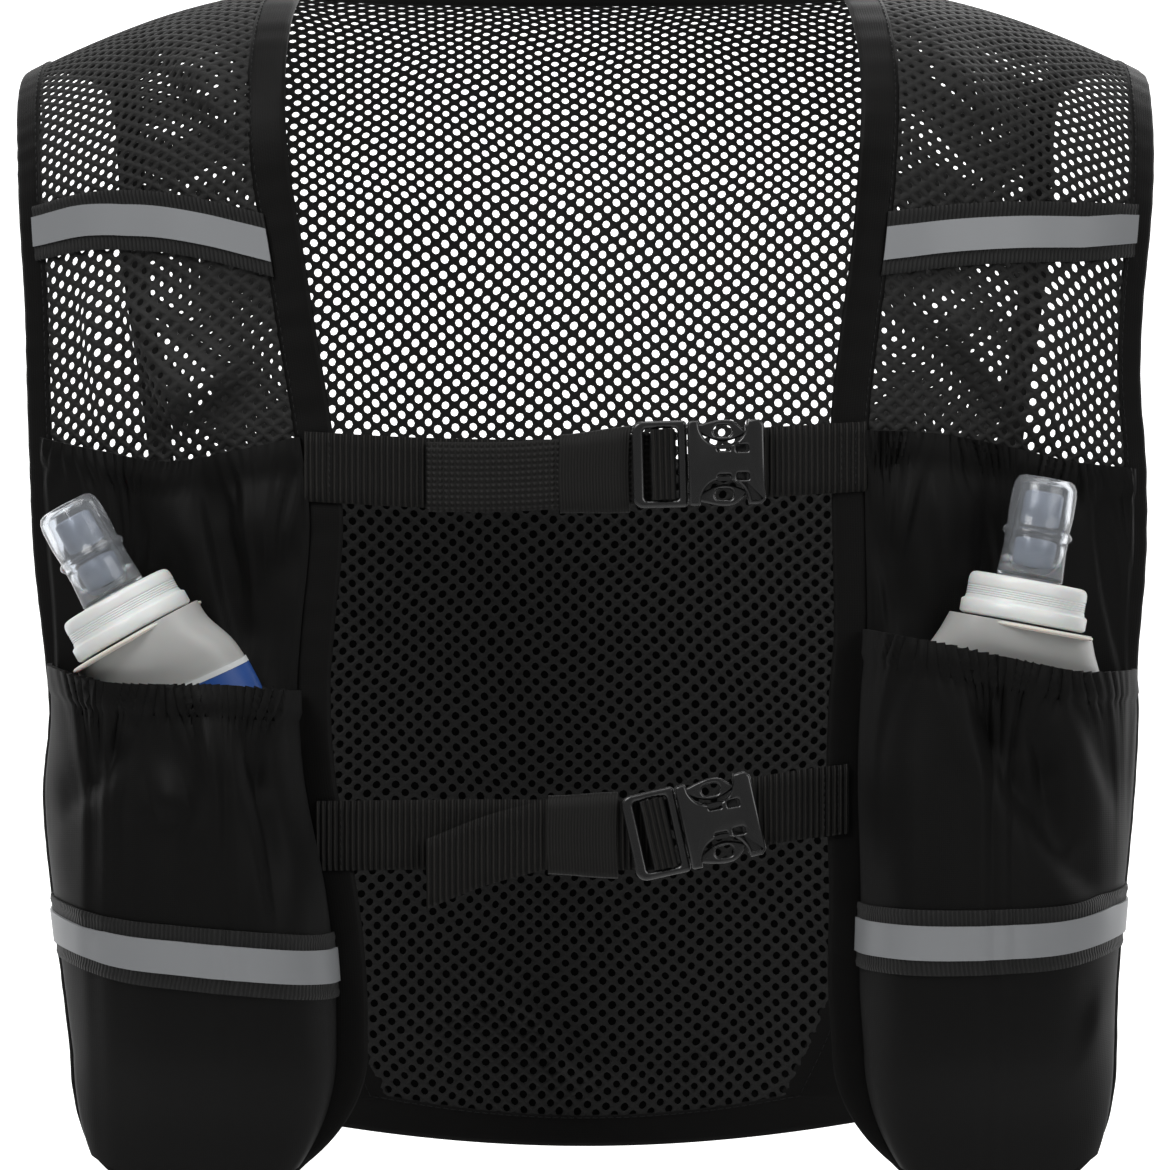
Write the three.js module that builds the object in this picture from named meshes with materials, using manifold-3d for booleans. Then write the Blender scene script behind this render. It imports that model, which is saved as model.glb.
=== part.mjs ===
// Running hydration vest: net body, gathered pockets, chest straps and two soft flasks.
// Millimetres, +Z up. The wearer faces -Y, and +X is the right side seen from the front.
// The origin is the middle of the shoulder ridge, on which the vest hangs.
import * as THREE from 'three';
import { mergeVertices } from 'three/addons/utils/BufferGeometryUtils.js';
import Module from 'manifold-3d';

const wasm = await Module();
wasm.setup();

// Form of the worn vest
const HALF_WIDTH = 205;
const CHEST_DEPTH = 105;
const SHOULDER_ARC = 70;
const BODY_LENGTH = 446;
const SHOULDER_FALL = 30;
const RIDGE_FLAT = 108;
const SIDE_TURN = 0.43;
const HEM_TAPER = 0.06;
const NECK_HALF = 96;
const NECK_DEPTH = 52;
const NECK_RISE = 4;
const TURN_SHARE = 0.89;
const BOTTOM_SKEW = 6;

// Cloth, binding and tape
const CLOTH = 1;
const GAP = 0.3;
const LAYER_GAP = 0.7;
const INNER_BINDING = 14;
const ARM_BINDING = 9;
const NECK_BINDING = 20;
const BINDING_WALL = 2;
const TAPE_WIDTH = 23;
const SILVER_WIDTH = 12;
const POCKET_FULLNESS = 47.5;
const BACK_FULLNESS = 14;
const GATHER_DEPTH = 3;
const FOLD_WIDTH = 6;
const GATHERS = 8;
const HOLE_SHARE = 0.78;

// Straps and buckles
const WEB_WIDTH = 25;
const WEB_WALL = 1.5;
const KEEPER_LENGTH = 25;
const KEEPER_WALL = 1.2;
const BUCKLE_HEIGHT = 31;
const FRAME_LENGTH = 19.6;
const FEMALE_LENGTH = 27.2;
const FRAME_WALL = 5;
const FEMALE_WALL = 10;
const WINDOW_LENGTH = 11.5;
const LATCH_REACH = 12.5;
const LOBE_RADIUS = 4.2;

// Soft flasks
const CAP_RADIUS = 22.6;
const CAP_HEIGHT = 15.2;
const VALVE_RADIUS = 12.6;
const VALVE_HEIGHT = 36.5;
const FLASK_WIDTH = HALF_WIDTH * 0.322;
const FLASK_DEPTH = 34;
const FLASK_LENGTH = 122;
const FLASK_SETTLE = 6;

const FRONT = -1;
const BACK = 1;
const INNER_FACE = (CLOTH - BINDING_WALL) / 2;
const BINDING_TOP = INNER_FACE + BINDING_WALL;
const POCKET_LIFT = BINDING_TOP + LAYER_GAP;
const FLASK_POCKET_LIFT = POCKET_LIFT + CLOTH + LAYER_GAP;
const ARC_RUN = (Math.PI / 2) * Math.sqrt((CHEST_DEPTH ** 2 + SHOULDER_ARC ** 2) / 2);
const RUN = ARC_RUN + BODY_LENGTH - SHOULDER_ARC;
const ARC_SHARE = ARC_RUN / RUN;

// Rows of a table, each with the named columns
function table(columns, ...rows) {
  const names = columns.split(' ');
  return rows.map((row) => Object.fromEntries(names.map((name, k) => [name, row[k]])));
}

// Smooth reading of one column at a place along another
function follow(rows, along, column, at) {
  const last = rows.length - 1;
  let k = 0;
  while (k < last - 1 && at > rows[k + 1][along]) {
    k += 1;
  }
  const slope = (i) => {
    const a = rows[Math.max(i - 1, 0)];
    const b = rows[Math.min(i + 1, last)];
    return (b[column] - a[column]) / (b[along] - a[along]);
  };
  const width = rows[k + 1][along] - rows[k][along];
  const t = THREE.MathUtils.clamp((at - rows[k][along]) / width, 0, 1);
  const from = rows[k][column] * (2 * t ** 3 - 3 * t ** 2 + 1) + slope(k) * width * (t ** 3 - 2 * t ** 2 + t);
  return from + rows[k + 1][column] * (3 * t ** 2 - 2 * t ** 3) + slope(k + 1) * width * (t ** 3 - t ** 2);
}

// Edges of the front panels, as shares of the half width, down the run from ridge to hem
const PANEL_EDGES = table(
  'down left_in left_out right_in right_out',
  [0.0, 0.49, 1.01, 0.45, 1.005],
  [0.06, 0.507, 1.02, 0.46, 1.018],
  [0.13, 0.521, 1.02, 0.475, 1.018],
  [0.2, 0.525, 1.012, 0.483, 1.015],
  [0.27, 0.517, 1.005, 0.477, 1.006],
  [0.33, 0.493, 0.996, 0.465, 0.992],
  [0.39, 0.469, 0.992, 0.445, 0.987],
  [0.45, 0.444, 0.987, 0.429, 0.998],
  [0.52, 0.422, 0.979, 0.431, 0.998],
  [0.6, 0.438, 0.957, 0.434, 0.982],
  [0.64, 0.444, 0.95, 0.426, 0.984],
  [0.7, 0.435, 0.962, 0.421, 0.976],
  [0.78, 0.397, 0.944, 0.426, 0.958],
  [0.84, 0.381, 0.926, 0.424, 0.946],
  [0.89, 0.379, 0.911, 0.432, 0.943],
);

// Half widths of the back panel: where the net ends and where the binding ends
const BACK_EDGES = table(
  'down net edge',
  [0.0, 0.955, 1.0],
  [0.06, 0.91, 0.955],
  [0.12, 0.85, 0.895],
  [0.2, 0.84, 0.885],
  [0.3, 0.833, 0.878],
  [0.4, 0.8, 0.845],
  [0.5, 0.775, 0.82],
  [0.6, 0.765, 0.81],
  [0.66, 0.7, 0.81],
  [0.72, 0.59, 0.81],
  [0.78, 0.515, 0.808],
  [0.86, 0.475, 0.8],
  [0.91, 0.43, 0.785],
  [0.955, 0.375, 0.75],
);

// Lines across a front panel, as drops from the ridge in shares of the body length
const LINES = table(
  'line inner quarter middle far outer',
  ['left_upper_rim', 0.379, 0.3895, 0.3975, 0.388, 0.3755],
  ['right_upper_rim', 0.3735, 0.376, 0.3855, 0.3975, 0.4025],
  ['left_flask_rim', 0.582, 0.577, 0.576, 0.574, 0.562],
  ['right_flask_rim', 0.533, 0.544, 0.556, 0.5665, 0.5665],
  ['left_chest_tape', 0.202, 0.189, 0.181, 0.182, 0.19],
  ['right_chest_tape', 0.198, 0.19, 0.186, 0.185, 0.185],
  ['left_pocket_tape', 0.776, 0.77, 0.766, 0.761, 0.7475],
  ['right_pocket_tape', 0.7515, 0.753, 0.753, 0.751, 0.74],
);

// Fullness of a flask pocket down its run, as shares of the greatest fullness
const FULLNESS = table(
  'down share',
  [0.48, 0.9],
  [0.62, 0.96],
  [0.72, 1.0],
  [0.8, 0.98],
  [0.88, 0.7],
  [0.94, 0.25],
  [1.0, 0.04],
);

// Folds of the cloth: ends in shares of the half width and body length, height in millimetres
const FOLDS = table(
  'cloth x0 drop0 x1 drop1 height',
  ['back_net', -0.3, 0.875, -0.18, 0.857, -5],
  ['back_net', -0.18, 0.857, -0.09, 0.878, -6],
  ['back_net', -0.09, 0.878, 0.01, 0.95, -5],
  ['back_net', 0.27, 0.912, 0.175, 0.946, -5],
  ['left_upper', -0.64, 0.42, -0.6, 0.55, 4],
  ['left_upper', -0.53, 0.5, -0.56, 0.56, 4],
  ['right_upper', 0.53, 0.42, 0.55, 0.52, 3],
  ['left_flask', -0.68, 0.59, -0.64, 0.7, 3],
  ['left_flask', -0.545, 0.6, -0.57, 0.7, 3],
  ['right_flask', 0.58, 0.58, 0.7, 0.68, 3],
  ['right_flask', 0.83, 0.6, 0.8, 0.7, 3],
);

// Middle line of each strap: x in shares of the half width, drop in shares of the body length
const STRAPS = {
  top: table(
    'x drop',
    [-0.488, 0.4025],
    [-0.29, 0.4075],
    [-0.058, 0.409],
    [0.11, 0.404],
    [0.31, 0.3995],
    [0.49, 0.3945],
  ),
  bottom: table(
    'x drop',
    [-0.468, 0.699],
    [-0.2, 0.6975],
    [0.08, 0.698],
    [0.16, 0.696],
    [0.3, 0.679],
    [0.46, 0.669],
  ),
};

// Free tail of each strap: drop below the strap line in shares of the webbing, lift in webbing walls
const TAILS = {
  top: table('x fall lift', [-0.275, 0.06, 2.6], [-0.16, 0.04, 2.55], [-0.05, 0.0, 2.5]),
  bottom: table('x fall lift', [-0.275, 0.55, 4.6], [-0.17, 0.22, 3.6], [-0.072, 0.0, 2.5]),
};

// Where a buckle sits: x and drop in shares, tilt in degrees
const BUCKLES = {
  top: { x: 0.197, drop: 0.4005, tilt: 1.5 },
  bottom: { x: 0.188, drop: 0.69, tilt: 12.5 },
};

// Where a flask sits: cap foot x and drop in shares, tilt of the cap and swing of the foot in degrees
const FLASKS = {
  left: { x: -0.78, drop: 0.536, tilt: -29, foot: 8, sink: 0.2 },
  right: { x: 0.757, drop: 0.5275, tilt: 10.2, foot: 4, sink: 0.8 },
};

// Sections of a flask body down its length, in shares of its length, width and depth
const FLASK_SECTIONS = table(
  'down width depth',
  [0.0, 0.72, 1.3],
  [0.05, 0.75, 1.27],
  [0.16, 0.88, 1.08],
  [0.34, 0.98, 1.0],
  [0.6, 1.0, 0.96],
  [0.8, 0.96, 0.78],
  [0.93, 0.86, 0.4],
  [1.0, 0.8, 0.12],
);

// Outlines of the turned cap and bite valve, in shares of their height and radius
const CAP_PROFILE = table(
  'up radius',
  [0.0, 0.9],
  [0.06, 1.0],
  [0.34, 1.0],
  [0.42, 0.95],
  [0.94, 0.92],
  [1.0, 0.86],
);
const VALVE_PROFILE = table(
  'up radius',
  [0.0, 0.96],
  [0.3, 0.9],
  [0.38, 1.0],
  [0.46, 0.9],
  [0.62, 0.9],
  [0.7, 0.95],
  [0.92, 0.85],
  [1.0, 0.74],
);

function steps(from, to, count) {
  return Array.from({ length: count + 1 }, (_, k) => from + ((to - from) * k) / count);
}

// Height of the shoulder ridge, flat beside the neck and falling to the arm
function ridgeHeight(x) {
  const past = Math.max(Math.abs(x) - RIDGE_FLAT, 0) / (HALF_WIDTH - RIDGE_FLAT);
  return -SHOULDER_FALL * past ** 1.6;
}

// How far behind the ridge the back neckline starts
function neckStart(x) {
  return NECK_DEPTH * Math.sqrt(Math.max(1 - (x / NECK_HALF) ** 2, 0));
}

// Lift of the folds of one cloth at a place
function foldLift(cloth, x, z) {
  return FOLDS.filter((fold) => fold.cloth === cloth).reduce((sum, fold) => {
    const start = new THREE.Vector2(fold.x0 * HALF_WIDTH, -fold.drop0 * BODY_LENGTH);
    const run = new THREE.Vector2(fold.x1 * HALF_WIDTH, -fold.drop1 * BODY_LENGTH).sub(start);
    const place = new THREE.Vector2(x, z).sub(start);
    const along = THREE.MathUtils.clamp(place.dot(run) / run.lengthSq(), 0, 1);
    const off = place.addScaledVector(run, -along).length() / FOLD_WIDTH;
    const lift = fold.height * Math.exp(-(off ** 2));
    return Math.abs(lift) > Math.abs(sum) ? lift : sum;
  }, 0);
}

// Point of the worn form: a quarter ellipse over the shoulder, then straight down
function formPoint(x, share, facing) {
  const across = Math.abs(x) / HALF_WIDTH;
  const start = facing === BACK ? neckStart(x) : 0;
  const depth = CHEST_DEPTH * (1 - SIDE_TURN * across ** 4) * (1 - HEM_TAPER * share);
  const turn = (Math.min(share / ARC_SHARE, 1) * Math.PI) / 2;
  const below = Math.max(share - ARC_SHARE, 0) * RUN;
  const rise = NECK_RISE * (start / NECK_DEPTH) * Math.cos(turn);
  const z = ridgeHeight(x) * (1 - share) - SHOULDER_ARC * (1 - Math.cos(turn)) - below + rise;
  return new THREE.Vector3(x, facing * (start + (depth - start) * Math.sin(turn)), z);
}

// The same point, lifted off the form towards the outside
function lifted(x, share, lift, facing) {
  const reach = 0.5;
  const sideways = formPoint(x + reach, share, facing).sub(formPoint(x - reach, share, facing));
  const low = Math.max(share - reach / RUN, 0);
  const down = formPoint(x, low + (2 * reach) / RUN, facing).sub(formPoint(x, low, facing));
  const normal = sideways.cross(down).normalize();
  const outward = facing * normal.y + 0.5 * normal.z;
  return formPoint(x, share, facing).addScaledVector(normal, outward < 0 ? -lift : lift);
}

// The same point of the front, set forward as well, so that it keeps its place seen from the front
function forward(x, share, lift, out) {
  const point = lifted(x, share, lift, FRONT);
  point.y -= out;
  return point;
}

// Place of a wall on any surface base(t, k), raised square to that surface towards the front
function raised(base, lift) {
  const reach = 0.01;
  return (t, k, rise) => {
    const across = base(t, Math.min(k + reach, 1)).sub(base(t, Math.max(k - reach, 0)));
    const down = base(Math.min(t + reach, 1), k).sub(base(Math.max(t - reach, 0), k));
    const normal = across.cross(down).normalize();
    return base(t, k).addScaledVector(normal, (normal.y < 0 ? 1 : -1) * (lift + rise));
  };
}

// Share of the run at which the form reaches a height
function shareAt(x, z, facing) {
  let low = 0;
  let high = 1.2;
  for (let k = 0; k < 40; k += 1) {
    const middle = (low + high) / 2;
    if (formPoint(x, middle, facing).z > z) {
      low = middle;
    } else {
      high = middle;
    }
  }
  return low;
}

// Closed geometry from loose triangles, turned so that its faces point outwards
function closed(triangles) {
  const key = (p) => `${Math.round(p.x * 500)},${Math.round(p.y * 500)},${Math.round(p.z * 500)}`;
  const kept = triangles.filter(([a, b, c]) => key(a) !== key(b) && key(b) !== key(c) && key(c) !== key(a));
  const volume = kept.reduce((sum, [a, b, c]) => sum + a.dot(b.clone().cross(c)), 0);
  const points = kept.flatMap(([a, b, c]) => (volume > 0 ? [a, b, c] : [a, c, b]));
  return mergeVertices(new THREE.BufferGeometry().setFromPoints(points), 1e-3);
}

// Four-sided face as two triangles
function quad(a, b, c, d) {
  return [[a, b, c], [a, c, d]];
}

// Face of one cell with a diamond gap: the ring of triangles and the corners of the gap
function piercedFace(corners) {
  const centre = corners.reduce((sum, p) => sum.add(p), new THREE.Vector3()).multiplyScalar(0.25);
  const gap = corners.map((p, k) => p.clone().add(corners[(k + 1) % 4]).multiplyScalar(0.5));
  gap.forEach((p) => p.lerp(centre, 1 - HOLE_SHARE));
  const ring = corners.flatMap((p, k) => {
    const next = corners[(k + 1) % 4];
    return [[p, next, gap[k]], [next, gap[(k + 1) % 4], gap[k]]];
  });
  return { ring, gap };
}

// Wall over a grid of places, with its rim, and with a gap through each cell that open() names
function wall(rows, cols, place, thickness, open = () => false) {
  const at = (i, j, lift) => place(rows[i], cols[j], lift, i, j);
  const low = rows.map((_, i) => cols.map((__, j) => at(i, j, 0)));
  const high = rows.map((_, i) => cols.map((__, j) => at(i, j, thickness)));
  const triangles = [];
  const flip = (list) => list.map(([a, b, c]) => [a, c, b]);
  for (let i = 0; i < rows.length - 1; i += 1) {
    for (let j = 0; j < cols.length - 1; j += 1) {
      const cell = (grid) => [grid[i][j], grid[i + 1][j], grid[i + 1][j + 1], grid[i][j + 1]];
      if (open(i, j)) {
        const top = piercedFace(cell(high));
        const bottom = piercedFace(cell(low));
        triangles.push(...top.ring, ...flip(bottom.ring));
        top.gap.forEach((p, k) => {
          const n = (k + 1) % 4;
          triangles.push(...quad(top.gap[k], top.gap[n], bottom.gap[n], bottom.gap[k]));
        });
      } else {
        triangles.push(...quad(...cell(high)), ...flip(quad(...cell(low))));
      }
    }
  }
  const end = cols.length - 1;
  const foot = rows.length - 1;
  for (let i = 0; i < foot; i += 1) {
    triangles.push(...quad(high[i][0], low[i][0], low[i + 1][0], high[i + 1][0]));
    triangles.push(...quad(high[i + 1][end], low[i + 1][end], low[i][end], high[i][end]));
  }
  for (let j = 0; j < end; j += 1) {
    triangles.push(...quad(high[0][j + 1], low[0][j + 1], low[0][j], high[0][j]));
    triangles.push(...quad(high[foot][j], low[foot][j], low[foot][j + 1], high[foot][j + 1]));
  }
  return closed(triangles);
}

// Band between two lines of spots, each spot an x and a share of the run
function band(pairs, facing, lift, thickness) {
  const rows = pairs.map((_, k) => k);
  const place = (row, col, rise) => {
    const spot = pairs[row][col];
    return lifted(spot.x, spot.share, lift + rise, facing);
  };
  return wall(rows, [0, 1], place, thickness);
}

// x of a front panel's edge at a share of the run
function panelEdge(side, edge, share) {
  const column = `${side < 0 ? 'left' : 'right'}_${edge}`;
  return side * HALF_WIDTH * follow(PANEL_EDGES, 'down', column, Math.min(share, TURN_SHARE));
}

// Spot of a front panel: u from -1 at the inner edge to 1 at the outer, q from 0 at the ridge
// to 1 where the bottom starts to round and 2 at the lowest point
function panelSpot(side, u, q) {
  const straight = Math.min(q, 1) * TURN_SHARE;
  const inner = panelEdge(side, 'in', straight);
  const outer = panelEdge(side, 'out', straight);
  const middle = (inner + outer) / 2;
  const half = (outer - inner) / 2;
  const round = Math.max(q - 1, 0);
  const x = middle + side * BOTTOM_SKEW * round ** 2 + half * u * Math.sqrt(1 - round ** 2 / 2);
  return { x, share: straight + (1 - TURN_SHARE) * round * Math.sqrt(1 - u ** 2 / 2) };
}

// u of a line at a width in from the inner or the outer edge
function seamU(side, q, width, edge) {
  const share = Math.min(q, 1) * TURN_SHARE;
  const full = Math.abs(panelEdge(side, 'out', share) - panelEdge(side, 'in', share));
  return edge === 'in' ? -1 + (2 * width) / full : 1 - (2 * width) / full;
}

const BOTTOM_RUN = (1 - TURN_SHARE) * RUN;
const SEAM_Q = 2 - INNER_BINDING / BOTTOM_RUN;
const ARC_Q = ARC_SHARE / TURN_SHARE;
const RIDGE_Q = GAP / 2 / RUN;
const PANEL_ROWS = [...steps(RIDGE_Q, ARC_Q, 5), ...steps(ARC_Q, 1, 9).slice(1), ...steps(1, SEAM_Q, 2).slice(1)];

// Spot of a panel's field between its bindings, k from 0 at the inner seam to 1 at the outer
function fieldSpot(side, k, q, margin) {
  const from = seamU(side, q, INNER_BINDING + margin, 'in');
  const to = seamU(side, q, ARM_BINDING + margin, 'out');
  return panelSpot(side, from + (to - from) * k, q);
}

// Open net of a front panel, from the shoulder seam down to the bottom binding
function frontNet(side) {
  const bottom = SEAM_Q - GAP / BOTTOM_RUN;
  const rows = PANEL_ROWS.map((q) => Math.min(q, bottom));
  const cols = steps(0, 1, 5);
  const place = (q, k, rise) => {
    const spot = fieldSpot(side, k, q, GAP);
    return lifted(spot.x, spot.share, rise, FRONT);
  };
  const open = (i, j) => i > 0 && i < 9 && (i + j) % 2 === 0;
  return wall(rows, cols, place, CLOTH, open);
}

// Binding down the opening edge and round the bottom of a front panel
function innerBinding(side) {
  const down = PANEL_ROWS.map((q) => [
    panelSpot(side, -1, q),
    panelSpot(side, seamU(side, q, INNER_BINDING, 'in'), q),
  ]);
  const from = seamU(side, SEAM_Q, INNER_BINDING, 'in');
  const to = seamU(side, SEAM_Q, ARM_BINDING, 'out');
  const across = steps(0, 1, 5).map((k) => from + (to - from) * k);
  const round = [-1, ...across, 1].map((u) => {
    const inside = THREE.MathUtils.clamp(u, from, to);
    return [panelSpot(side, u, 2), panelSpot(side, inside, SEAM_Q)];
  });
  return band([...down, ...round], FRONT, INNER_FACE, BINDING_WALL);
}

// Narrow binding down the arm edge of a front panel
function armBinding(side) {
  const rows = PANEL_ROWS.map((q) => Math.min(q, SEAM_Q));
  const pairs = rows.map((q) => {
    const seam = panelSpot(side, seamU(side, q, ARM_BINDING, 'out'), q);
    return [panelSpot(side, 1, q), seam];
  });
  const last = pairs.length - 1;
  pairs[last] = pairs[last].map((spot, k) => ({
    x: spot.x + ((pairs[last - 1][k].x - spot.x) * 2 * GAP) / BOTTOM_RUN,
    share: spot.share - (2 * GAP) / RUN,
  }));
  return band(pairs, FRONT, INNER_FACE, BINDING_WALL);
}

// Height of a named line across a front panel, k from 0 at the inner seam to 1 at the outer edge
function lineShare(name, k, x) {
  const row = LINES.find((entry) => entry.line === name);
  const stops = ['inner', 'quarter', 'middle', 'far', 'outer'];
  const points = stops.map((stop, i) => ({ k: i / (stops.length - 1), drop: row[stop] }));
  return shareAt(x, -BODY_LENGTH * follow(points, 'k', 'drop', k), FRONT);
}

// Spot of cloth laid over a panel, k from the inner seam to the arm edge, at a share of the run
function coverSpot(side, k, share) {
  const q = share / TURN_SHARE;
  const from = seamU(side, q, INNER_BINDING + GAP, 'in');
  return panelSpot(side, from + (1 - from) * k, q);
}

// The same over the rounded bottom: t runs from a line's share to the bottom seam
function coverRow(side, k, line, t) {
  const guess = coverSpot(side, k, TURN_SHARE * 0.6);
  const top = lineShare(line, k, guess.x) / TURN_SHARE;
  const q = top + (SEAM_Q - GAP / BOTTOM_RUN - top) * t;
  const from = seamU(side, q, INNER_BINDING + GAP, 'in');
  return panelSpot(side, from + (1 - from) * k, q);
}

// Gathered cloth pulls in and out under an elastic edge and smooths out below it
function gatherLift(k, t) {
  return GATHER_DEPTH * (1 + Math.sin(2 * Math.PI * GATHERS * k)) * 0.5 * Math.max(1 - t * 2.2, 0);
}

const name = (side) => (side < 0 ? 'left' : 'right');

// Stretch cloth pocket over the chest half of the panel, under the flask
function upperPocket(side) {
  const rows = [0, 0.06, 0.14, 0.25, 0.42, 0.7, 1];
  const cols = steps(0, 1, GATHERS * 2);
  const place = (t, k, rise) => {
    const spot = coverRow(side, k, `${name(side)}_upper_rim`, t);
    const lift = POCKET_LIFT + gatherLift(k, t) * 0.5 + rise;
    const fold = foldLift(`${name(side)}_upper`, spot.x, formPoint(spot.x, spot.share, FRONT).z);
    return lifted(spot.x, spot.share, lift + fold, FRONT);
  };
  return wall(rows, cols, place, CLOTH);
}

// Middle line of a flask at a distance below the cap foot: x and share of the run
function flaskSpot(side, below) {
  const flask = FLASKS[name(side)];
  const along = THREE.MathUtils.clamp(below / FLASK_LENGTH, 0, 1);
  const tilt = THREE.MathUtils.degToRad(flask.tilt);
  const foot = THREE.MathUtils.degToRad(flask.foot);
  const angle = tilt + (foot - tilt) * along * 0.5;
  const x = flask.x * HALF_WIDTH - below * Math.sin(angle);
  const z = -flask.drop * BODY_LENGTH - below * Math.cos(angle);
  return { x, z, angle: tilt + (foot - tilt) * along };
}

// How far the middle of a flask stands in front of the panel, less where the body thins
const FLASK_STAND = CAP_RADIUS + POCKET_LIFT + CLOTH + GATHER_DEPTH + GAP;

function flaskOut(side, below) {
  const stand = FLASK_STAND - FLASKS[name(side)].sink;
  return stand - FLASK_SETTLE * THREE.MathUtils.smoothstep(below, 0, FLASK_LENGTH / 3);
}

// How far a flask pocket stands forward of the panel: full over the flask and flat at its seams
function pocketOut(side, spot, k) {
  const flask = FLASKS[name(side)];
  const height = formPoint(spot.x, spot.share, FRONT).z;
  const below = (-flask.drop * BODY_LENGTH - height) / Math.cos(THREE.MathUtils.degToRad(flask.tilt / 2));
  const crest = flaskSpot(side, THREE.MathUtils.clamp(below, 0, FLASK_LENGTH)).x;
  const start = coverSpot(side, 0, spot.share).x;
  const end = coverSpot(side, 1, spot.share).x;
  const crestK = THREE.MathUtils.clamp((crest - start) / (end - start), 0.35, 0.62);
  const off = k < crestK ? (crestK - k) / crestK : (k - crestK) / (1 - crestK);
  const across = Math.sqrt(Math.max(1 - Math.min(off, 1) ** 3.2, 0));
  return POCKET_FULLNESS * across * follow(FULLNESS, 'down', 'share', spot.share);
}

// Gathered pocket that holds a flask against the panel
function flaskPocket(side) {
  const rows = [0, 0.05, 0.14, 0.24, 0.34, 0.44, 0.54, 0.64, 0.74, 0.87, 1];
  const cols = steps(0, 1, GATHERS * 2);
  const base = (t, k) => {
    const spot = coverRow(side, k, `${name(side)}_flask_rim`, t);
    const fold = foldLift(`${name(side)}_flask`, spot.x, formPoint(spot.x, spot.share, FRONT).z);
    const out = pocketOut(side, spot, k) + gatherLift(k, t) + fold;
    return forward(spot.x, spot.share, FLASK_POCKET_LIFT, out);
  };
  return wall(rows, cols, raised(base, 0), CLOTH);
}

// Reflective tape across a panel: its base or the silver strip along the middle of it
function tape(side, line, width, inset, seat, lift, out, count) {
  const cols = steps(0, 1, count);
  const rows = steps(0, 1, width > SILVER_WIDTH ? 2 : 1);
  const base = (t, k) => {
    const guess = coverSpot(side, k, TURN_SHARE * 0.6);
    const share = lineShare(line, k, guess.x) + (inset + width * t) / RUN;
    const spot = coverSpot(side, k, share);
    return forward(spot.x, spot.share, seat, out(side, spot, k));
  };
  return wall(rows, cols, raised(base, lift), CLOTH);
}

// Spot of the back panel: c from -1 to 1 between the net's side edges, t from 0 at the top to 1
const NECK_SEAM = NECK_HALF + INNER_BINDING;
const NET_BOTTOM = 0.97;
const NET_BOTTOM_DIP = 0.015;

function backTop(c) {
  const x = Math.abs(c) * HALF_WIDTH * BACK_EDGES[0].net;
  const turn = Math.sqrt(Math.max(1 - (x / NECK_SEAM) ** 2, 0));
  return { x, share: (NECK_BINDING / RUN) * Math.sqrt(turn) };
}

function backSpot(c, t) {
  const top = backTop(c).share + RIDGE_Q;
  const share = top + (NET_BOTTOM - NET_BOTTOM_DIP * c ** 2 - top) * t;
  return { x: c * HALF_WIDTH * follow(BACK_EDGES, 'down', 'net', share), share };
}

const BACK_COLS = [-1, -0.86, -0.72, -0.57, -0.52, -0.42, -0.29, -0.15, 0];
const BACK_COLUMNS = [...BACK_COLS, ...BACK_COLS.slice(0, -1).reverse().map((c) => -c)];
const BACK_ROWS = [...steps(0, 0.28, 5), ...steps(0.28, 1, 11).slice(1)];

// Open net of the back panel
function backNet() {
  const place = (t, c, rise) => {
    const spot = backSpot(c, t);
    const margin = t === 1 ? GAP / RUN : 0;
    const x = spot.x - Math.sign(c) * (Math.abs(c) === 1 ? GAP : 0);
    const gap = t === 0 ? GAP / RUN : 0;
    const edge = Math.abs(c) === 1 || t === 1 ? 0 : 1;
    const fold = edge * foldLift('back_net', x, formPoint(x, spot.share, BACK).z);
    return lifted(x, spot.share - margin + gap, rise + fold, BACK);
  };
  const open = (i, j) => i > 1 && i < 13 && j > 1 && j < 14 && (i + j) % 2 === 0;
  return wall(BACK_ROWS, BACK_COLUMNS, place, CLOTH, open);
}

// Outline of the back panel outside the net: down one side, and half of the hem
const HEM_CORNER = table('x share', [0.735, 0.957], [0.66, 0.967], [0.55, 0.973]);
const HEM_MIDDLE = 0.994;

// Binding and facing round the back panel: both arm edges and the hem in one band
function backBinding() {
  const side = BACK_ROWS.map((t) => {
    const inside = backSpot(1, t);
    const edge = HALF_WIDTH * follow(BACK_EDGES, 'down', 'edge', inside.share);
    return [{ x: edge, share: inside.share }, inside];
  });
  const corner = backSpot(1, 1);
  const turn = HEM_CORNER.map((row) => [{ x: row.x * HALF_WIDTH, share: row.share }, corner]);
  const hemSpread = HEM_CORNER[HEM_CORNER.length - 1];
  const half = BACK_COLUMNS.filter((c) => c < 1 && c >= 0).reverse();
  const hem = half.map((c) => {
    const share = HEM_MIDDLE - (HEM_MIDDLE - hemSpread.share) * c ** 2;
    return [{ x: c * hemSpread.x * HALF_WIDTH, share }, backSpot(c, 1)];
  });
  const right = [...side, ...turn, ...hem];
  const mirrored = (pair) => pair.map((spot) => ({ x: -spot.x, share: spot.share }));
  const left = right.slice(0, -1).reverse().map(mirrored);
  return band([...right, ...left], BACK, INNER_FACE, BINDING_WALL);
}

// Binding along the back neckline, from one shoulder seam to the other
function neckBinding() {
  const columns = BACK_COLUMNS.filter((c) => Math.abs(c) < 0.6);
  const pairs = columns.map((c) => {
    const reach = Math.min(backTop(c).x / NECK_SEAM, 1) * NECK_HALF;
    const seam = backSpot(c, 0);
    return [{ x: Math.sign(c) * reach, share: RIDGE_Q / 2 }, seam];
  });
  return band(pairs, BACK, INNER_FACE, BINDING_WALL);
}

// Plain cloth pocket behind the lower back
const BACK_POCKET_TOP = 0.469;

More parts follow.
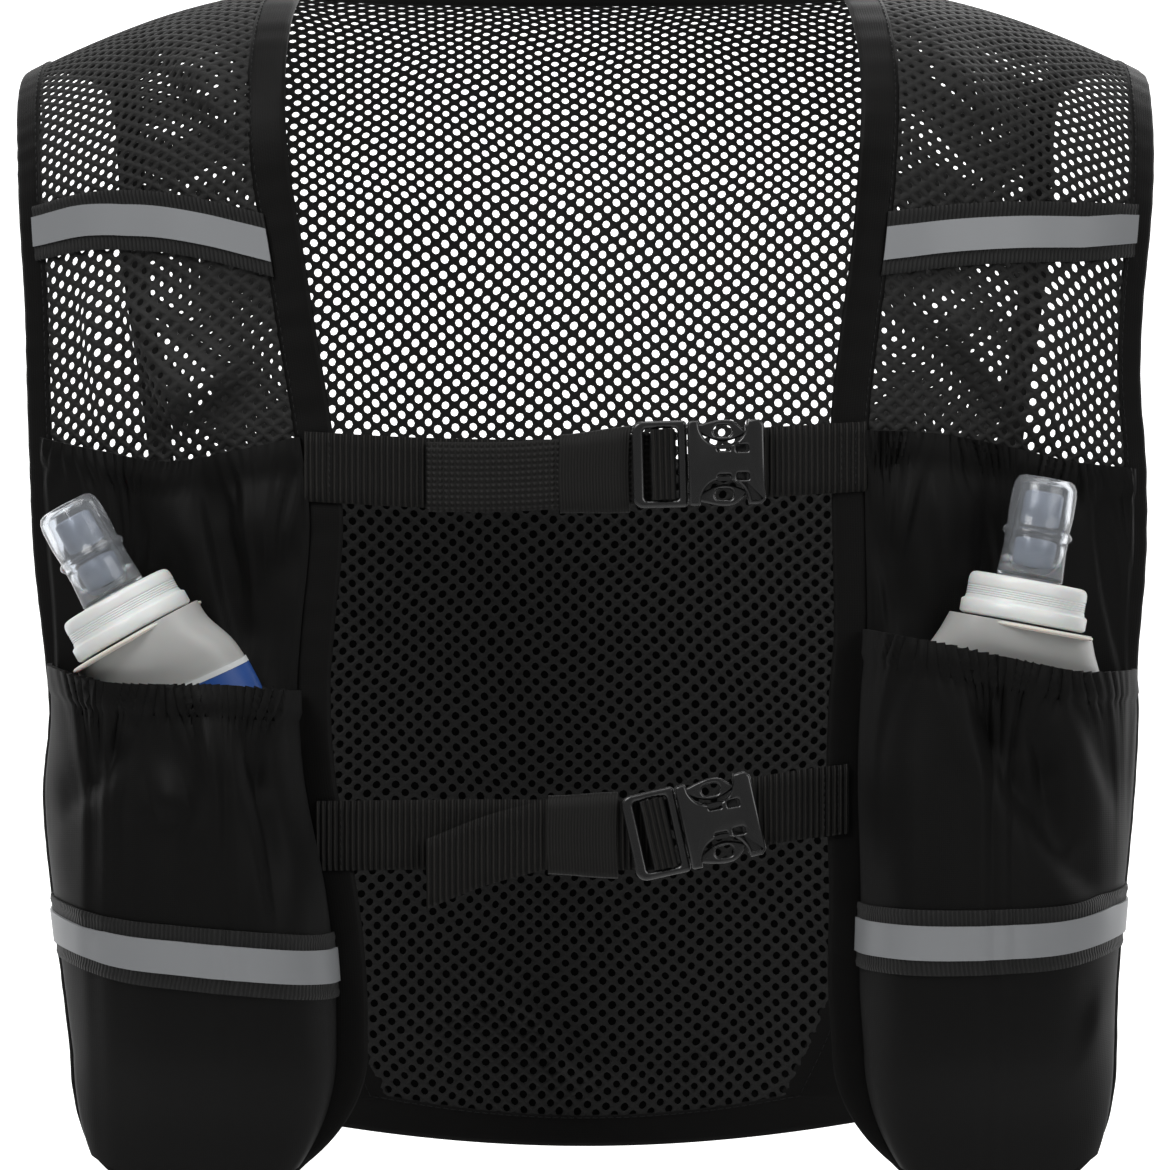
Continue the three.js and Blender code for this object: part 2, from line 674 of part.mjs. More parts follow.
function backPocket() {
  const rows = steps(0, 1, 8);
  const cols = steps(-1, 1, 10);
  const place = (t, c, rise) => {
    const bottom = HEM_MIDDLE - (HEM_MIDDLE - HEM_CORNER[1].share) * c ** 2;
    const share = BACK_POCKET_TOP + (bottom - BACK_POCKET_TOP) * t;
    const half = HALF_WIDTH * follow(BACK_EDGES, 'down', 'edge', share) - ARM_BINDING / 2;
    const corner = 1 - 0.14 * Math.max(t - 0.85, 0) / 0.15;
    const full = (1 - c ** 4) * (1 - t ** 6) * (0.7 + 0.3 * Math.sin(Math.PI * t));
    return lifted(c * half * corner, share, POCKET_LIFT + BACK_FULLNESS * full + rise, BACK);
  };
  return wall(rows, cols, place, CLOTH);
}

const STRAP_LIFT = BINDING_TOP + LAYER_GAP;

// Webbing along a strap's middle line, between two x shares
function webbing(strap, from, to, count, shift) {
  const rows = steps(from, to, count);
  const place = (x, across, rise) => {
    const extra = shift(x);
    const drop = follow(STRAPS[strap], 'x', 'drop', x) * BODY_LENGTH + extra.fall;
    const share = shareAt(x * HALF_WIDTH, -drop - across * WEB_WIDTH, FRONT);
    return lifted(x * HALF_WIDTH, share, extra.lift + rise, FRONT);
  };
  return wall(rows, [-0.5, 0.5], place, WEB_WALL);
}

// Middle of a buckle above the webbing's underside: the frame rests on two layers
const BUCKLE_SEAT = 2 * WEB_WALL + 2 * GAP + FRAME_WALL / 2;

// Place and turn of a buckle's own axes: X along the strap, Z up, -Y to the front
function buckleMatrix(strap) {
  const seat = BUCKLES[strap];
  const x = seat.x * HALF_WIDTH;
  const share = shareAt(x, -seat.drop * BODY_LENGTH, FRONT);
  const lift = STRAP_LIFT + BUCKLE_SEAT;
  const turn = new THREE.Matrix4().makeRotationY(THREE.MathUtils.degToRad(-seat.tilt));
  return turn.setPosition(lifted(x, share, lift, FRONT));
}

function toSolid(geometry, matrix = new THREE.Matrix4()) {
  const bare = geometry.clone().applyMatrix4(matrix);
  bare.deleteAttribute('normal');
  bare.deleteAttribute('uv');
  const merged = mergeVertices(bare, 1e-4);
  const vertProperties = new Float32Array(merged.attributes.position.array);
  const triVerts = new Uint32Array(merged.index.array);
  return new wasm.Manifold(new wasm.Mesh({ numProp: 3, vertProperties, triVerts }));
}

function fromSolid(solid) {
  const mesh = solid.getMesh();
  const geometry = new THREE.BufferGeometry();
  geometry.setAttribute('position', new THREE.BufferAttribute(new Float32Array(mesh.vertProperties), 3));
  geometry.setIndex(new THREE.BufferAttribute(new Uint32Array(mesh.triVerts), 1));
  return geometry;
}

function block(x0, x1, y0, y1, z0, z1) {
  const box = new THREE.BoxGeometry(x1 - x0, y1 - y0, z1 - z0);
  return toSolid(box.translate((x0 + x1) / 2, (y0 + y1) / 2, (z0 + z1) / 2));
}

function disc(x, z, radius, depth) {
  return toSolid(new THREE.CylinderGeometry(radius, radius, depth, 12).translate(x, 0, z));
}

// Plate with rounded corners in the strap's plane
function plate(length, height, depth, radius) {
  const shape = new THREE.Shape();
  const a = length / 2 - radius;
  const b = height / 2 - radius;
  shape.absarc(a, b, radius, 0, Math.PI / 2, false);
  shape.absarc(-a, b, radius, Math.PI / 2, Math.PI, false);
  shape.absarc(-a, -b, radius, Math.PI, 1.5 * Math.PI, false);
  shape.absarc(a, -b, radius, 1.5 * Math.PI, 2 * Math.PI, false);
  const body = new THREE.ExtrudeGeometry(shape, { depth, bevelEnabled: false, curveSegments: 2 });
  return toSolid(body.translate(0, 0, -depth / 2).rotateX(Math.PI / 2));
}

const BUCKLE_LENGTH = FRAME_LENGTH + FEMALE_LENGTH + GAP;
const FEMALE_X = BUCKLE_LENGTH / 2 - FEMALE_LENGTH / 2;
const FRAME_X = -BUCKLE_LENGTH / 2 + FRAME_LENGTH / 2;
const LOBE_Z = BUCKLE_HEIGHT / 2 - LOBE_RADIUS + 0.8;
const LOBE_X = FRAME_X + FRAME_LENGTH / 2 + LATCH_REACH;
const ARM_HALF = 2.2;
const WINDOW_HEIGHT = WEB_WIDTH + 2 * GAP;
const SLOT_HEIGHT = WEB_WIDTH + 8 * GAP;
const SLOT_REACH = 2;
const SLOT_DEPTH = 7;

// Ladder frame with its two spring arms
function buckleMale(strap) {
  const window = block(-WINDOW_LENGTH / 2, WINDOW_LENGTH / 2, -FRAME_WALL, FRAME_WALL, -WINDOW_HEIGHT / 2, WINDOW_HEIGHT / 2);
  let solid = plate(FRAME_LENGTH, BUCKLE_HEIGHT, FRAME_WALL, 3.5).subtract(window);
  solid = solid.translate([FRAME_X, 0, 0]);
  const root = FRAME_X + FRAME_LENGTH / 2 - 1;
  [-1, 1].forEach((end) => {
    const low = end * LOBE_Z - LOBE_RADIUS * 0.8;
    solid = solid.add(block(root, LOBE_X, -ARM_HALF, ARM_HALF, low, low + LOBE_RADIUS * 1.6));
    solid = solid.add(disc(LOBE_X, end * LOBE_Z, LOBE_RADIUS, 2 * ARM_HALF));
  });
  solid = solid.add(block(root, LOBE_X + 2, -ARM_HALF, ARM_HALF, -1.5, 1.5));
  return fromSolid(solid).applyMatrix4(buckleMatrix(strap));
}

// Female half: hollow for the arms, cut away round the lobes, slotted for its webbing
function buckleFemale(strap) {
  const mouth = FEMALE_X - FEMALE_LENGTH / 2;
  const end = FEMALE_X + FEMALE_LENGTH / 2;
  const room = ARM_HALF + 0.4;
  let solid = plate(FEMALE_LENGTH, BUCKLE_HEIGHT, FEMALE_WALL, 3).translate([FEMALE_X, 0, 0]);
  solid = solid.subtract(block(mouth - 1, LOBE_X + 3, -room, room, -BUCKLE_HEIGHT, BUCKLE_HEIGHT));
  [-1, 1].forEach((side) => {
    solid = solid.subtract(disc(LOBE_X, side * (LOBE_Z + 1), LOBE_RADIUS + 2.2, 2 * FEMALE_WALL));
  });
  const slot = WEB_WALL / 2 + 2 * GAP;
  solid = solid.subtract(block(end - SLOT_DEPTH, end + 1, -slot, slot, -SLOT_HEIGHT / 2, SLOT_HEIGHT / 2));
  return fromSolid(solid).applyMatrix4(buckleMatrix(strap));
}

// x share at which the buckle starts or ends along the strap
function buckleEnd(strap, offset) {
  const seat = BUCKLES[strap];
  return seat.x + (offset * Math.cos(THREE.MathUtils.degToRad(seat.tilt))) / HALF_WIDTH;
}

// Webbing sewn to the left panel, passing behind the frame
function strapLeft(strap) {
  const from = STRAPS[strap][0].x;
  const to = buckleEnd(strap, FRAME_X + WINDOW_LENGTH / 2);
  return webbing(strap, from, to, 10, () => ({ fall: 0, lift: STRAP_LIFT }));
}

// Free tail of the same webbing: through the keeper and up into the frame's window
function strapTail(strap) {
  const rows = TAILS[strap];
  const last = rows[rows.length - 1];
  const end = buckleEnd(strap, FRAME_X + WINDOW_LENGTH / 2);
  const shift = (x) => ({
    fall: WEB_WIDTH * (x < last.x ? follow(rows, 'x', 'fall', x) : 0),
    lift: STRAP_LIFT + WEB_WALL + GAP + (x < last.x ? follow(rows, 'x', 'lift', x) - last.lift : 0) * WEB_WALL,
  });
  return webbing(strap, rows[0].x, end, 12, shift);
}

// Webbing seen in the frame's window, wrapped over the middle bar
function strapLoop(strap) {
  const room = WINDOW_LENGTH / 2 - GAP;
  const loop = block(-room, room, -WEB_WALL, FRAME_WALL / 2, -WEB_WIDTH / 2, WEB_WIDTH / 2);
  return fromSolid(loop.translate([FRAME_X, 0, 0])).applyMatrix4(buckleMatrix(strap));
}

// Wide elastic keeper round both layers, next to the frame
function strapKeeper(strap) {
  const lean = (BUCKLE_HEIGHT / 2) * Math.sin(THREE.MathUtils.degToRad(BUCKLES[strap].tilt));
  const end = buckleEnd(strap, FRAME_X - FRAME_LENGTH / 2) * HALF_WIDTH - lean - 2 * GAP;
  const x = end - KEEPER_LENGTH / 2;
  const room = 2 * WEB_WALL + GAP + 2 * GAP;
  const high = WEB_WIDTH + 4 * GAP;
  const outer = block(
    -KEEPER_LENGTH / 2,
    KEEPER_LENGTH / 2,
    -room / 2 - KEEPER_WALL,
    room / 2 + KEEPER_WALL,
    -high / 2 - KEEPER_WALL,
    high / 2 + KEEPER_WALL,
  );
  const inner = block(-KEEPER_LENGTH, KEEPER_LENGTH, -room / 2, room / 2, -high / 2, high / 2);
  const dropAt = (along) => follow(STRAPS[strap], 'x', 'drop', along / HALF_WIDTH) * BODY_LENGTH;
  const slope = (dropAt(x + KEEPER_LENGTH / 2) - dropAt(x - KEEPER_LENGTH / 2)) / KEEPER_LENGTH;
  const centre = lifted(x, shareAt(x, -dropAt(x), FRONT), STRAP_LIFT - GAP + room / 2, FRONT);
  const turn = new THREE.Matrix4().makeRotationY(Math.atan(slope)).setPosition(centre);
  return fromSolid(outer.subtract(inner)).applyMatrix4(turn);
}

// Webbing sewn to the right panel, running into the female half
function strapRight(strap) {
  const rows = STRAPS[strap];
  const from = buckleEnd(strap, FEMALE_X + FEMALE_LENGTH / 2 - SLOT_REACH);
  const settled = from + WEB_WIDTH / HALF_WIDTH;
  const seat = BUCKLE_SEAT - WEB_WALL / 2;
  const shift = (x) => ({
    fall: 0,
    lift: STRAP_LIFT + seat * (1 - THREE.MathUtils.smoothstep(x, from + SLOT_REACH / HALF_WIDTH, settled)),
  });
  return webbing(strap, from, rows[rows.length - 1].x, 10, shift);
}

// Turned solid: the profile closes on the axis at both ends
function turned(profile, radius, height, sides) {
  const points = profile.map((row) => new THREE.Vector2(row.radius * radius, row.up * height));
  points.unshift(new THREE.Vector2(0, 0));
  points.push(new THREE.Vector2(0, height));
  return toSolid(new THREE.LatheGeometry(points, sides).rotateX(Math.PI / 2));
}

// Place of the cap's foot and the direction of the flask's neck
function flaskMatrix(side, up) {
  const spot = flaskSpot(side, 0);
  const seat = formPoint(spot.x, shareAt(spot.x, spot.z, FRONT), FRONT);
  seat.y -= flaskOut(side, 0);
  const turn = new THREE.Matrix4().makeRotationY(spot.angle);
  const shift = new THREE.Matrix4().makeTranslation(0, 0, up);
  return turn.setPosition(seat).multiply(shift);
}

function flaskCap(side) {
  const cap = turned(CAP_PROFILE, CAP_RADIUS, CAP_HEIGHT, 16);
  return fromSolid(cap).applyMatrix4(flaskMatrix(side, 0));
}

function flaskValve(side) {
  const valve = turned(VALVE_PROFILE, VALVE_RADIUS, VALVE_HEIGHT, 12);
  return fromSolid(valve).applyMatrix4(flaskMatrix(side, CAP_HEIGHT + GAP));
}

// Soft body below the cap, lying along the panel
function flaskBody(side) {
  const sides = 16;
  const rings = FLASK_SECTIONS.map((row) => {
    const below = 2 * GAP + row.down * FLASK_LENGTH;
    const middle = flaskSpot(side, below);
    return steps(0, 2 * Math.PI, sides).slice(0, -1).map((angle) => {
      const across = Math.cos(angle) * row.width * FLASK_WIDTH * 0.5;
      const out = Math.sin(angle) * row.depth * FLASK_DEPTH * 0.5;
      const x = middle.x + across * Math.cos(middle.angle);
      const z = middle.z - across * Math.sin(middle.angle);
      const point = formPoint(x, shareAt(x, z, FRONT), FRONT);
      point.y -= flaskOut(side, below) + out;
      return point;
    });
  });
  const triangles = [];
  const centre = (ring) => ring.reduce((sum, p) => sum.add(p), new THREE.Vector3()).divideScalar(sides);
  const first = centre(rings[0]);
  const final = centre(rings[rings.length - 1]);
  for (let k = 0; k < sides; k += 1) {
    const n = (k + 1) % sides;
    for (let r = 0; r < rings.length - 1; r += 1) {
      triangles.push(...quad(rings[r][k], rings[r][n], rings[r + 1][n], rings[r + 1][k]));
    }
    triangles.push([first, rings[0][n], rings[0][k]]);
    triangles.push([final, rings[rings.length - 1][k], rings[rings.length - 1][n]]);
  }
  return closed(triangles);
}

// What each pair of tapes lies on
const TAPES = [
  { where: 'chest', seat: BINDING_TOP, under: 0, full: false, count: 8 },
  { where: 'pocket', seat: FLASK_POCKET_LIFT, under: CLOTH + GAP, full: true, count: GATHERS * 2 },
];

function material(color, roughness, metalness = 0) {
  return new THREE.MeshStandardMaterial({ color, roughness, metalness });
}

const NET = material(0x141416, 0.85);
const CLOTH_BLACK = material(0x0b0b0c, 0.9);
const BINDING = material(0x0e0e10, 0.75);
const TAPE_DARK = material(0x202022, 0.7);
const SILVER = material(0x8c8e90, 0.45);
const WEBBING = material(0x151517, 0.8);
const PLASTIC = material(0x111112, 0.35);
const CAP_WHITE = material(0xd9dcdc, 0.4);
const CLEAR = material(0xbcc3c6, 0.15);

const vest = new THREE.Group();

function put(label, geometry, finish) {
  const mesh = new THREE.Mesh(geometry, finish);
  mesh.name = label;
  vest.add(mesh);
}

put('back_net', backNet(), NET);
put('back_binding', backBinding(), BINDING);
put('neck_binding', neckBinding(), BINDING);
put('back_pocket', backPocket(), CLOTH_BLACK);

[-1, 1].forEach((side) => {
  const label = name(side);
  put(`${label}_front_net`, frontNet(side), NET);
  put(`${label}_inner_binding`, innerBinding(side), BINDING);
  put(`${label}_armhole_binding`, armBinding(side), BINDING);
  put(`${label}_upper_pocket`, upperPocket(side), CLOTH_BLACK);
  put(`${label}_flask_pocket`, flaskPocket(side), CLOTH_BLACK);
  const inset = (TAPE_WIDTH - SILVER_WIDTH) / 2;
  const flat = () => 0;
  TAPES.forEach(({ where, seat, under, full, count }) => {
    const line = `${label}_${where}_tape`;
    const out = full ? pocketOut : flat;
    const low = under + LAYER_GAP;
    const high = low + CLOTH + LAYER_GAP;
    put(`${line}_base`, tape(side, line, TAPE_WIDTH, 0, seat, low, out, count), TAPE_DARK);
    put(`${line}_silver`, tape(side, line, SILVER_WIDTH, inset, seat, high, out, count), SILVER);
  });
  put(`${label}_flask_body`, flaskBody(side), CLEAR);
  put(`${label}_flask_cap`, flaskCap(side), CAP_WHITE);
  put(`${label}_bite_valve`, flaskValve(side), CLEAR);
});

['top', 'bottom'].forEach((strap) => {
  put(`${strap}_strap_left`, strapLeft(strap), WEBBING);
  put(`${strap}_strap_tail`, strapTail(strap), WEBBING);
  put(`${strap}_strap_loop`, strapLoop(strap), WEBBING);
  put(`${strap}_strap_keeper`, strapKeeper(strap), WEBBING);
  put(`${strap}_strap_right`, strapRight(strap), WEBBING);
  put(`${strap}_buckle_male`, buckleMale(strap), PLASTIC);
  put(`${strap}_buckle_female`, buckleFemale(strap), PLASTIC);
});

export default vest;
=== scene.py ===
"""Running hydration vest: cloth, net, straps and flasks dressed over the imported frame.

Lengths are metres. +Z is up, the wearer faces -Y, and +X is the right side seen from the front.
The cloth plane of a panel has x across it and the distance s down the run from the shoulder ridge.
"""

import logging
import math
from dataclasses import dataclass, field
from enum import Enum

import bmesh
import bpy
import numpy as np
from mathutils import Matrix, Vector

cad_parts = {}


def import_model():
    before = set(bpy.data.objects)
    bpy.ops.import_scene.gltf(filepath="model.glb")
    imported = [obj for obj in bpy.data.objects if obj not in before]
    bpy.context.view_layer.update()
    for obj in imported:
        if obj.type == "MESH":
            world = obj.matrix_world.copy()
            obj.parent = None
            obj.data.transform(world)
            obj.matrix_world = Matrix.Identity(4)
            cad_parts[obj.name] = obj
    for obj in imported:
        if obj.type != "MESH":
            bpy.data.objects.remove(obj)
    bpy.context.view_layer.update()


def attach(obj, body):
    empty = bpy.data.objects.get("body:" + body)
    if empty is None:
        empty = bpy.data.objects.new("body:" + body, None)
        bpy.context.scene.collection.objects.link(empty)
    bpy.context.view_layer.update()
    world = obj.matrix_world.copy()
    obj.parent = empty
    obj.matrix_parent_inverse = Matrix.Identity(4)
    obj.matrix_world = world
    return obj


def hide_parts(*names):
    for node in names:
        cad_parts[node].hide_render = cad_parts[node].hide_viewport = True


LOG = logging.getLogger("vest")
Array = np.ndarray
Obj = bpy.types.Object
CIRCLE = 2 * math.pi
STITCH_PITCH = 0.0031
THREAD = 0.0005
FOLD_SCALE = 1.35
FLASK_FOLD_SCALE = 1.9


class Facing(Enum):
    """Side of the body that a panel lies on."""

    FRONT = -1
    BACK = 1


class Side(Enum):
    """Left or right half of the vest, seen from the front."""

    LEFT = -1
    RIGHT = 1

    @property
    def label(self) -> str:
        """Word for this side in a piece's name."""
        return self.name.lower()


class Pattern(Enum):
    """Relief of a finish."""

    PLAIN = "plain"
    WEAVE = "weave"
    RIBS = "ribs"
    GRID = "grid"


# --------------------------------------------------------------------------------- shape helpers


@dataclass(frozen=True)
class Curve:
    """Smooth reading of one value along another."""

    at: tuple[float, ...]
    value: tuple[float, ...]

    def __call__(self, place: Array | float) -> Array:
        """Cubic between two rows, with each row's slope taken from the rows beside it.

        Args:
            place: where to read, held inside the table's ends.

        Returns:
            The value at each place.
        """
        a = np.asarray(self.at, float)
        v = np.asarray(self.value, float)
        x = np.asarray(place, float)
        k = np.searchsorted(a[1:-1], x, side="left")
        row = np.arange(len(a))
        low, high = np.maximum(row - 1, 0), np.minimum(row + 1, len(a) - 1)
        slope = (v[high] - v[low]) / (a[high] - a[low])
        width = a[k + 1] - a[k]
        t = np.clip((x - a[k]) / width, 0, 1)
        start = v[k] * (2 * t**3 - 3 * t**2 + 1) + slope[k] * width * (t**3 - 2 * t**2 + t)
        return start + v[k + 1] * (3 * t**2 - 2 * t**3) + slope[k + 1] * width * (t**3 - t**2)


def unit(v: Array) -> Array:
    """Vectors scaled to length one."""
    return v / np.maximum(np.linalg.norm(v, axis=-1, keepdims=True), 1e-12)


def smooth(x: Array, low: float, high: float) -> Array:
    """Smooth step: 0 below low, 1 above high, and 3t^2 - 2t^3 between."""
    t = np.clip((np.asarray(x, float) - low) / (high - low), 0, 1)
    return t * t * (3 - 2 * t)


def ripple(place: Array, pitch: float, seed: int) -> Array:
    """Uneven waves from -1 to 1: three sines near one pitch, with seeded phases and lengths.

    Args:
        place: distance along the cloth in metres.
        pitch: usual distance between two crests.
        seed: which set of phases.

    Returns:
        Height of the waves at each place.
    """
    rng = np.random.default_rng(seed)
    phase = rng.uniform(0, CIRCLE, 3)
    stretch = rng.uniform(0.75, 1.3, 3)
    waves = [np.sin(CIRCLE * place / (pitch * c) + p) for c, p in zip(stretch, phase)]
    return (waves[0] + 0.8 * waves[1] + 0.6 * waves[2]) / 2.0


@dataclass(frozen=True)
class Form:
    """Worn form: a quarter ellipse over the shoulder, then straight down, curved round the body."""

    half_width: float = 0.205
    chest_depth: float = 0.105
    shoulder_arc: float = 0.070
    body_length: float = 0.446
    shoulder_fall: float = 0.030
    ridge_flat: float = 0.108
    side_turn: float = 0.43
    hem_taper: float = 0.06
    neck_half: float = 0.096
    neck_depth: float = 0.052
    neck_rise: float = 0.004

    @property
    def arc_run(self) -> float:
        """Length of the quarter ellipse over the shoulder."""
        return math.pi / 2 * math.sqrt((self.chest_depth**2 + self.shoulder_arc**2) / 2)

    @property
    def run(self) -> float:
        """Length of the cloth from the ridge to the hem."""
        return self.arc_run + self.body_length - self.shoulder_arc

    @property
    def arc_share(self) -> float:
        """Share of the run that lies over the shoulder."""
        return self.arc_run / self.run

    def point(self, x: Array, share: Array, facing: Facing) -> Array:
        """Points of the form.

        Depth is the chest depth less a fourth power of x, and less a little towards the hem.
        Height falls with the cosine of the turn over the shoulder, then with the run.

        Args:
            x: place across, in metres.
            share: share of the run down from the ridge.
            facing: front or back.

        Returns:
            Points, one more axis than x.
        """
        x, share = np.broadcast_arrays(np.asarray(x, float), np.asarray(share, float))
        across = np.abs(x) / self.half_width
        start = np.zeros_like(x)
        if facing is Facing.BACK:
            start = self.neck_depth * np.sqrt(np.maximum(1 - (x / self.neck_half) ** 2, 0))
        depth = self.chest_depth * (1 - self.side_turn * across**4) * (1 - self.hem_taper * share)
        turn = np.minimum(share / self.arc_share, 1) * math.pi / 2
        below = np.maximum(share - self.arc_share, 0) * self.run
        rise = self.neck_rise * (start / self.neck_depth) * np.cos(turn)
        past = np.maximum(np.abs(x) - self.ridge_flat, 0) / (self.half_width - self.ridge_flat)
        ridge = -self.shoulder_fall * past**1.6
        z = ridge * (1 - share) - self.shoulder_arc * (1 - np.cos(turn)) - below + rise
        y = facing.value * (start + (depth - start) * np.sin(turn))
        return np.stack([x, y, z], axis=-1)

    def normal(self, x: Array, share: Array, facing: Facing) -> Array:
        """Outward normals: the cross product of the steps across and down the form."""
        reach = 0.0005
        x, share = np.broadcast_arrays(np.asarray(x, float), np.asarray(share, float))
        sideways = self.point(x + reach, share, facing) - self.point(x - reach, share, facing)
        low = np.maximum(share - reach / self.run, 0)
        down = self.point(x, low + 2 * reach / self.run, facing) - self.point(x, low, facing)
        n = unit(np.cross(sideways, down))
        outward = facing.value * n[..., 1] + 0.5 * n[..., 2]
        return n * np.where(outward < 0, -1.0, 1.0)[..., None]

    def lifted(self, x: Array, share: Array, lift: Array, facing: Facing) -> Array:
        """Points of the form raised off it by lift along its normal."""
        lift = np.asarray(lift, float)
        return self.point(x, share, facing) + self.normal(x, share, facing) * lift[..., None]

    def share_at(self, x: Array, z: Array, facing: Facing) -> Array:
        """Share of the run at which the form reaches height z, by halving the range 40 times."""
        x, z = np.broadcast_arrays(np.asarray(x, float), np.asarray(z, float))
        low, high = np.zeros_like(x), np.full_like(x, 1.2)
        for _ in range(40):
            middle = (low + high) / 2
            above = self.point(x, middle, facing)[..., 2] > z
            low, high = np.where(above, middle, low), np.where(above, high, middle)
        return low

    def x_of_arc(self, arc: Array) -> Array:
        """x at a distance measured round the curved chest from its middle."""
        x = np.linspace(0, 0.23, 600)
        slope = -4 * self.chest_depth * self.side_turn * x**3 / self.half_width**4
        length = np.concatenate([[0], np.cumsum(np.hypot(np.diff(x), np.diff(x) * slope[1:]))])
        return np.sign(arc) * np.interp(np.abs(arc), length, x)


FORM = Form()


# ---------------------------------------------------------------------------------- mesh helpers


def linked(name: str, data: bpy.types.ID) -> Obj:
    """New object that holds the given data, linked to the scene."""
    obj = bpy.data.objects.new(name, data)
    bpy.context.scene.collection.objects.link(obj)
    return obj


def mesh_object(
    name: str, points: Array, faces: list[Array], uv: Array | None = None, outward: bool = True
) -> Obj:
    """Object from whole arrays, put straight into the mesh.

    Args:
        name: name of the piece.
        points: vertices, (n, 3).
        faces: index arrays, each (m, corners).
        uv: place of each vertex on the flat cloth, (n, 2), in metres.
        outward: turn the faces so that the closed body holds a positive volume.

    Returns:
        The new object, at the origin.
    """
    points = np.asarray(points, float).reshape(-1, 3)
    parts = [np.asarray(f, np.int64) for f in faces if len(f)]
    if outward:
        volume = 0.0
        for part in parts:
            a = points[part[:, 0]]
            for k in range(1, part.shape[1] - 1):
                b, c = points[part[:, k]], points[part[:, k + 1]]
                volume += float((a * np.cross(b, c)).sum())
        if volume < 0:
            parts = [part[:, ::-1] for part in parts]
    mesh = bpy.data.meshes.new(name)
    loops = np.concatenate([part.ravel() for part in parts]).astype(np.int32)
    totals = np.concatenate([np.full(len(part), part.shape[1]) for part in parts]).astype(np.int32)
    starts = np.concatenate([[0], np.cumsum(totals)[:-1]]).astype(np.int32)
    mesh.vertices.add(len(points))
    mesh.vertices.foreach_set("co", points.ravel())
    mesh.loops.add(len(loops))
    mesh.loops.foreach_set("vertex_index", loops)
    mesh.polygons.add(len(totals))
    mesh.polygons.foreach_set("loop_start", starts)
    mesh.polygons.foreach_set("loop_total", totals)
    mesh.polygons.foreach_set("use_smooth", np.ones(len(totals), bool))
    if uv is not None:
        layer = mesh.uv_layers.new(name="cloth")
        layer.data.foreach_set("uv", np.asarray(uv, float)[loops].ravel())
    mesh.update(calc_edges=True)
    mesh.validate()
    return linked(name, mesh)


def quads(rows: int, cols: int, wrap: bool = False, start: int = 0) -> Array:
    """Four-cornered faces of a grid of rows by cols points, closed across if wrap."""
    ids = np.arange(rows * cols).reshape(rows, cols) + start
    if wrap:
        ids = np.concatenate([ids, ids[:, :1]], axis=1)
    return np.stack([ids[:-1, :-1], ids[1:, :-1], ids[1:, 1:], ids[:-1, 1:]], -1).reshape(-1, 4)


def slab(name: str, outer: Array, inner: Array, uv: Array, wrap: bool = False) -> Obj:
    """Closed wall between two grids of points, with a rim round it.

    Args:
        name: name of the piece.
        outer: outer face, (rows, cols, 3).
        inner: inner face, the same size.
        uv: place on the flat cloth, (rows, cols, 2).
        wrap: the columns close on themselves, as in a sleeve.

    Returns:
        The new object.
    """
    rows, cols = outer.shape[:2]
    count = rows * cols
    ids = np.arange(count).reshape(rows, cols)
    faces = [quads(rows, cols, wrap), quads(rows, cols, wrap, count)[:, ::-1]]
    edges = [ids[0], ids[-1][::-1]]
    if wrap:
        edges = [np.append(edge, edge[0]) for edge in edges]
    else:
        edges += [ids[::-1, 0], ids[:, -1]]
    for edge in edges:
        a, b = edge[:-1], edge[1:]
        faces.append(np.stack([a, b, b + count, a + count], -1))
    points = np.concatenate([outer.reshape(-1, 3), inner.reshape(-1, 3)])
    flat = uv.reshape(-1, 2)
    obj = mesh_object(name, points, faces, np.concatenate([flat, flat]))
    crisp(obj, 50)
    return obj


def tube(name: str, rings: Array, uv: Array) -> Obj:
    """Closed body from rings of points carried along a path, with a face over each end.

    Args:
        name: name of the piece.
        rings: (along, around, 3).
        uv: (along, around, 2).

    Returns:
        The new object.
    """
    along, around = rings.shape[:2]
    first = np.arange(around)[None, ::-1]
    last = (along - 1) * around + np.arange(around)[None, :]
    obj = mesh_object(name, rings, [quads(along, around, True), first, last], uv.reshape(-1, 2))
    crisp(obj, 50)
    return obj


def crisp(obj: Obj, degrees: float) -> None:
    """Marks the edges sharper than an angle, so that smooth shading stops there."""
    obj.data.set_sharp_from_angle(angle=math.radians(degrees))


def weld(obj: Obj, within: float = 1e-6) -> None:
    """Merges doubled points and points every face outwards."""
    work = bmesh.new()
    work.from_mesh(obj.data)
    bmesh.ops.remove_doubles(work, verts=work.verts, dist=within)
    bmesh.ops.recalc_face_normals(work, faces=work.faces)
    work.to_mesh(obj.data)
    work.free()


def joined(name: str, objects: list[Obj]) -> Obj:
    """One object from several, in one new mesh; the old objects and their meshes are removed."""
    work = bmesh.new()
    for obj in objects:
        work.from_mesh(obj.data)
    mesh = bpy.data.meshes.new(name)
    work.to_mesh(mesh)
    work.free()
    for obj in objects:
        old = obj.data
        bpy.data.objects.remove(obj)
        bpy.data.meshes.remove(old)
    return linked(name, mesh)


def arc_length(points: Array) -> Array:
    """Distance along a line of points, starting at 0."""
    steps = np.linalg.norm(np.diff(points, axis=0), axis=-1)
    return np.concatenate([[0], np.cumsum(steps)])


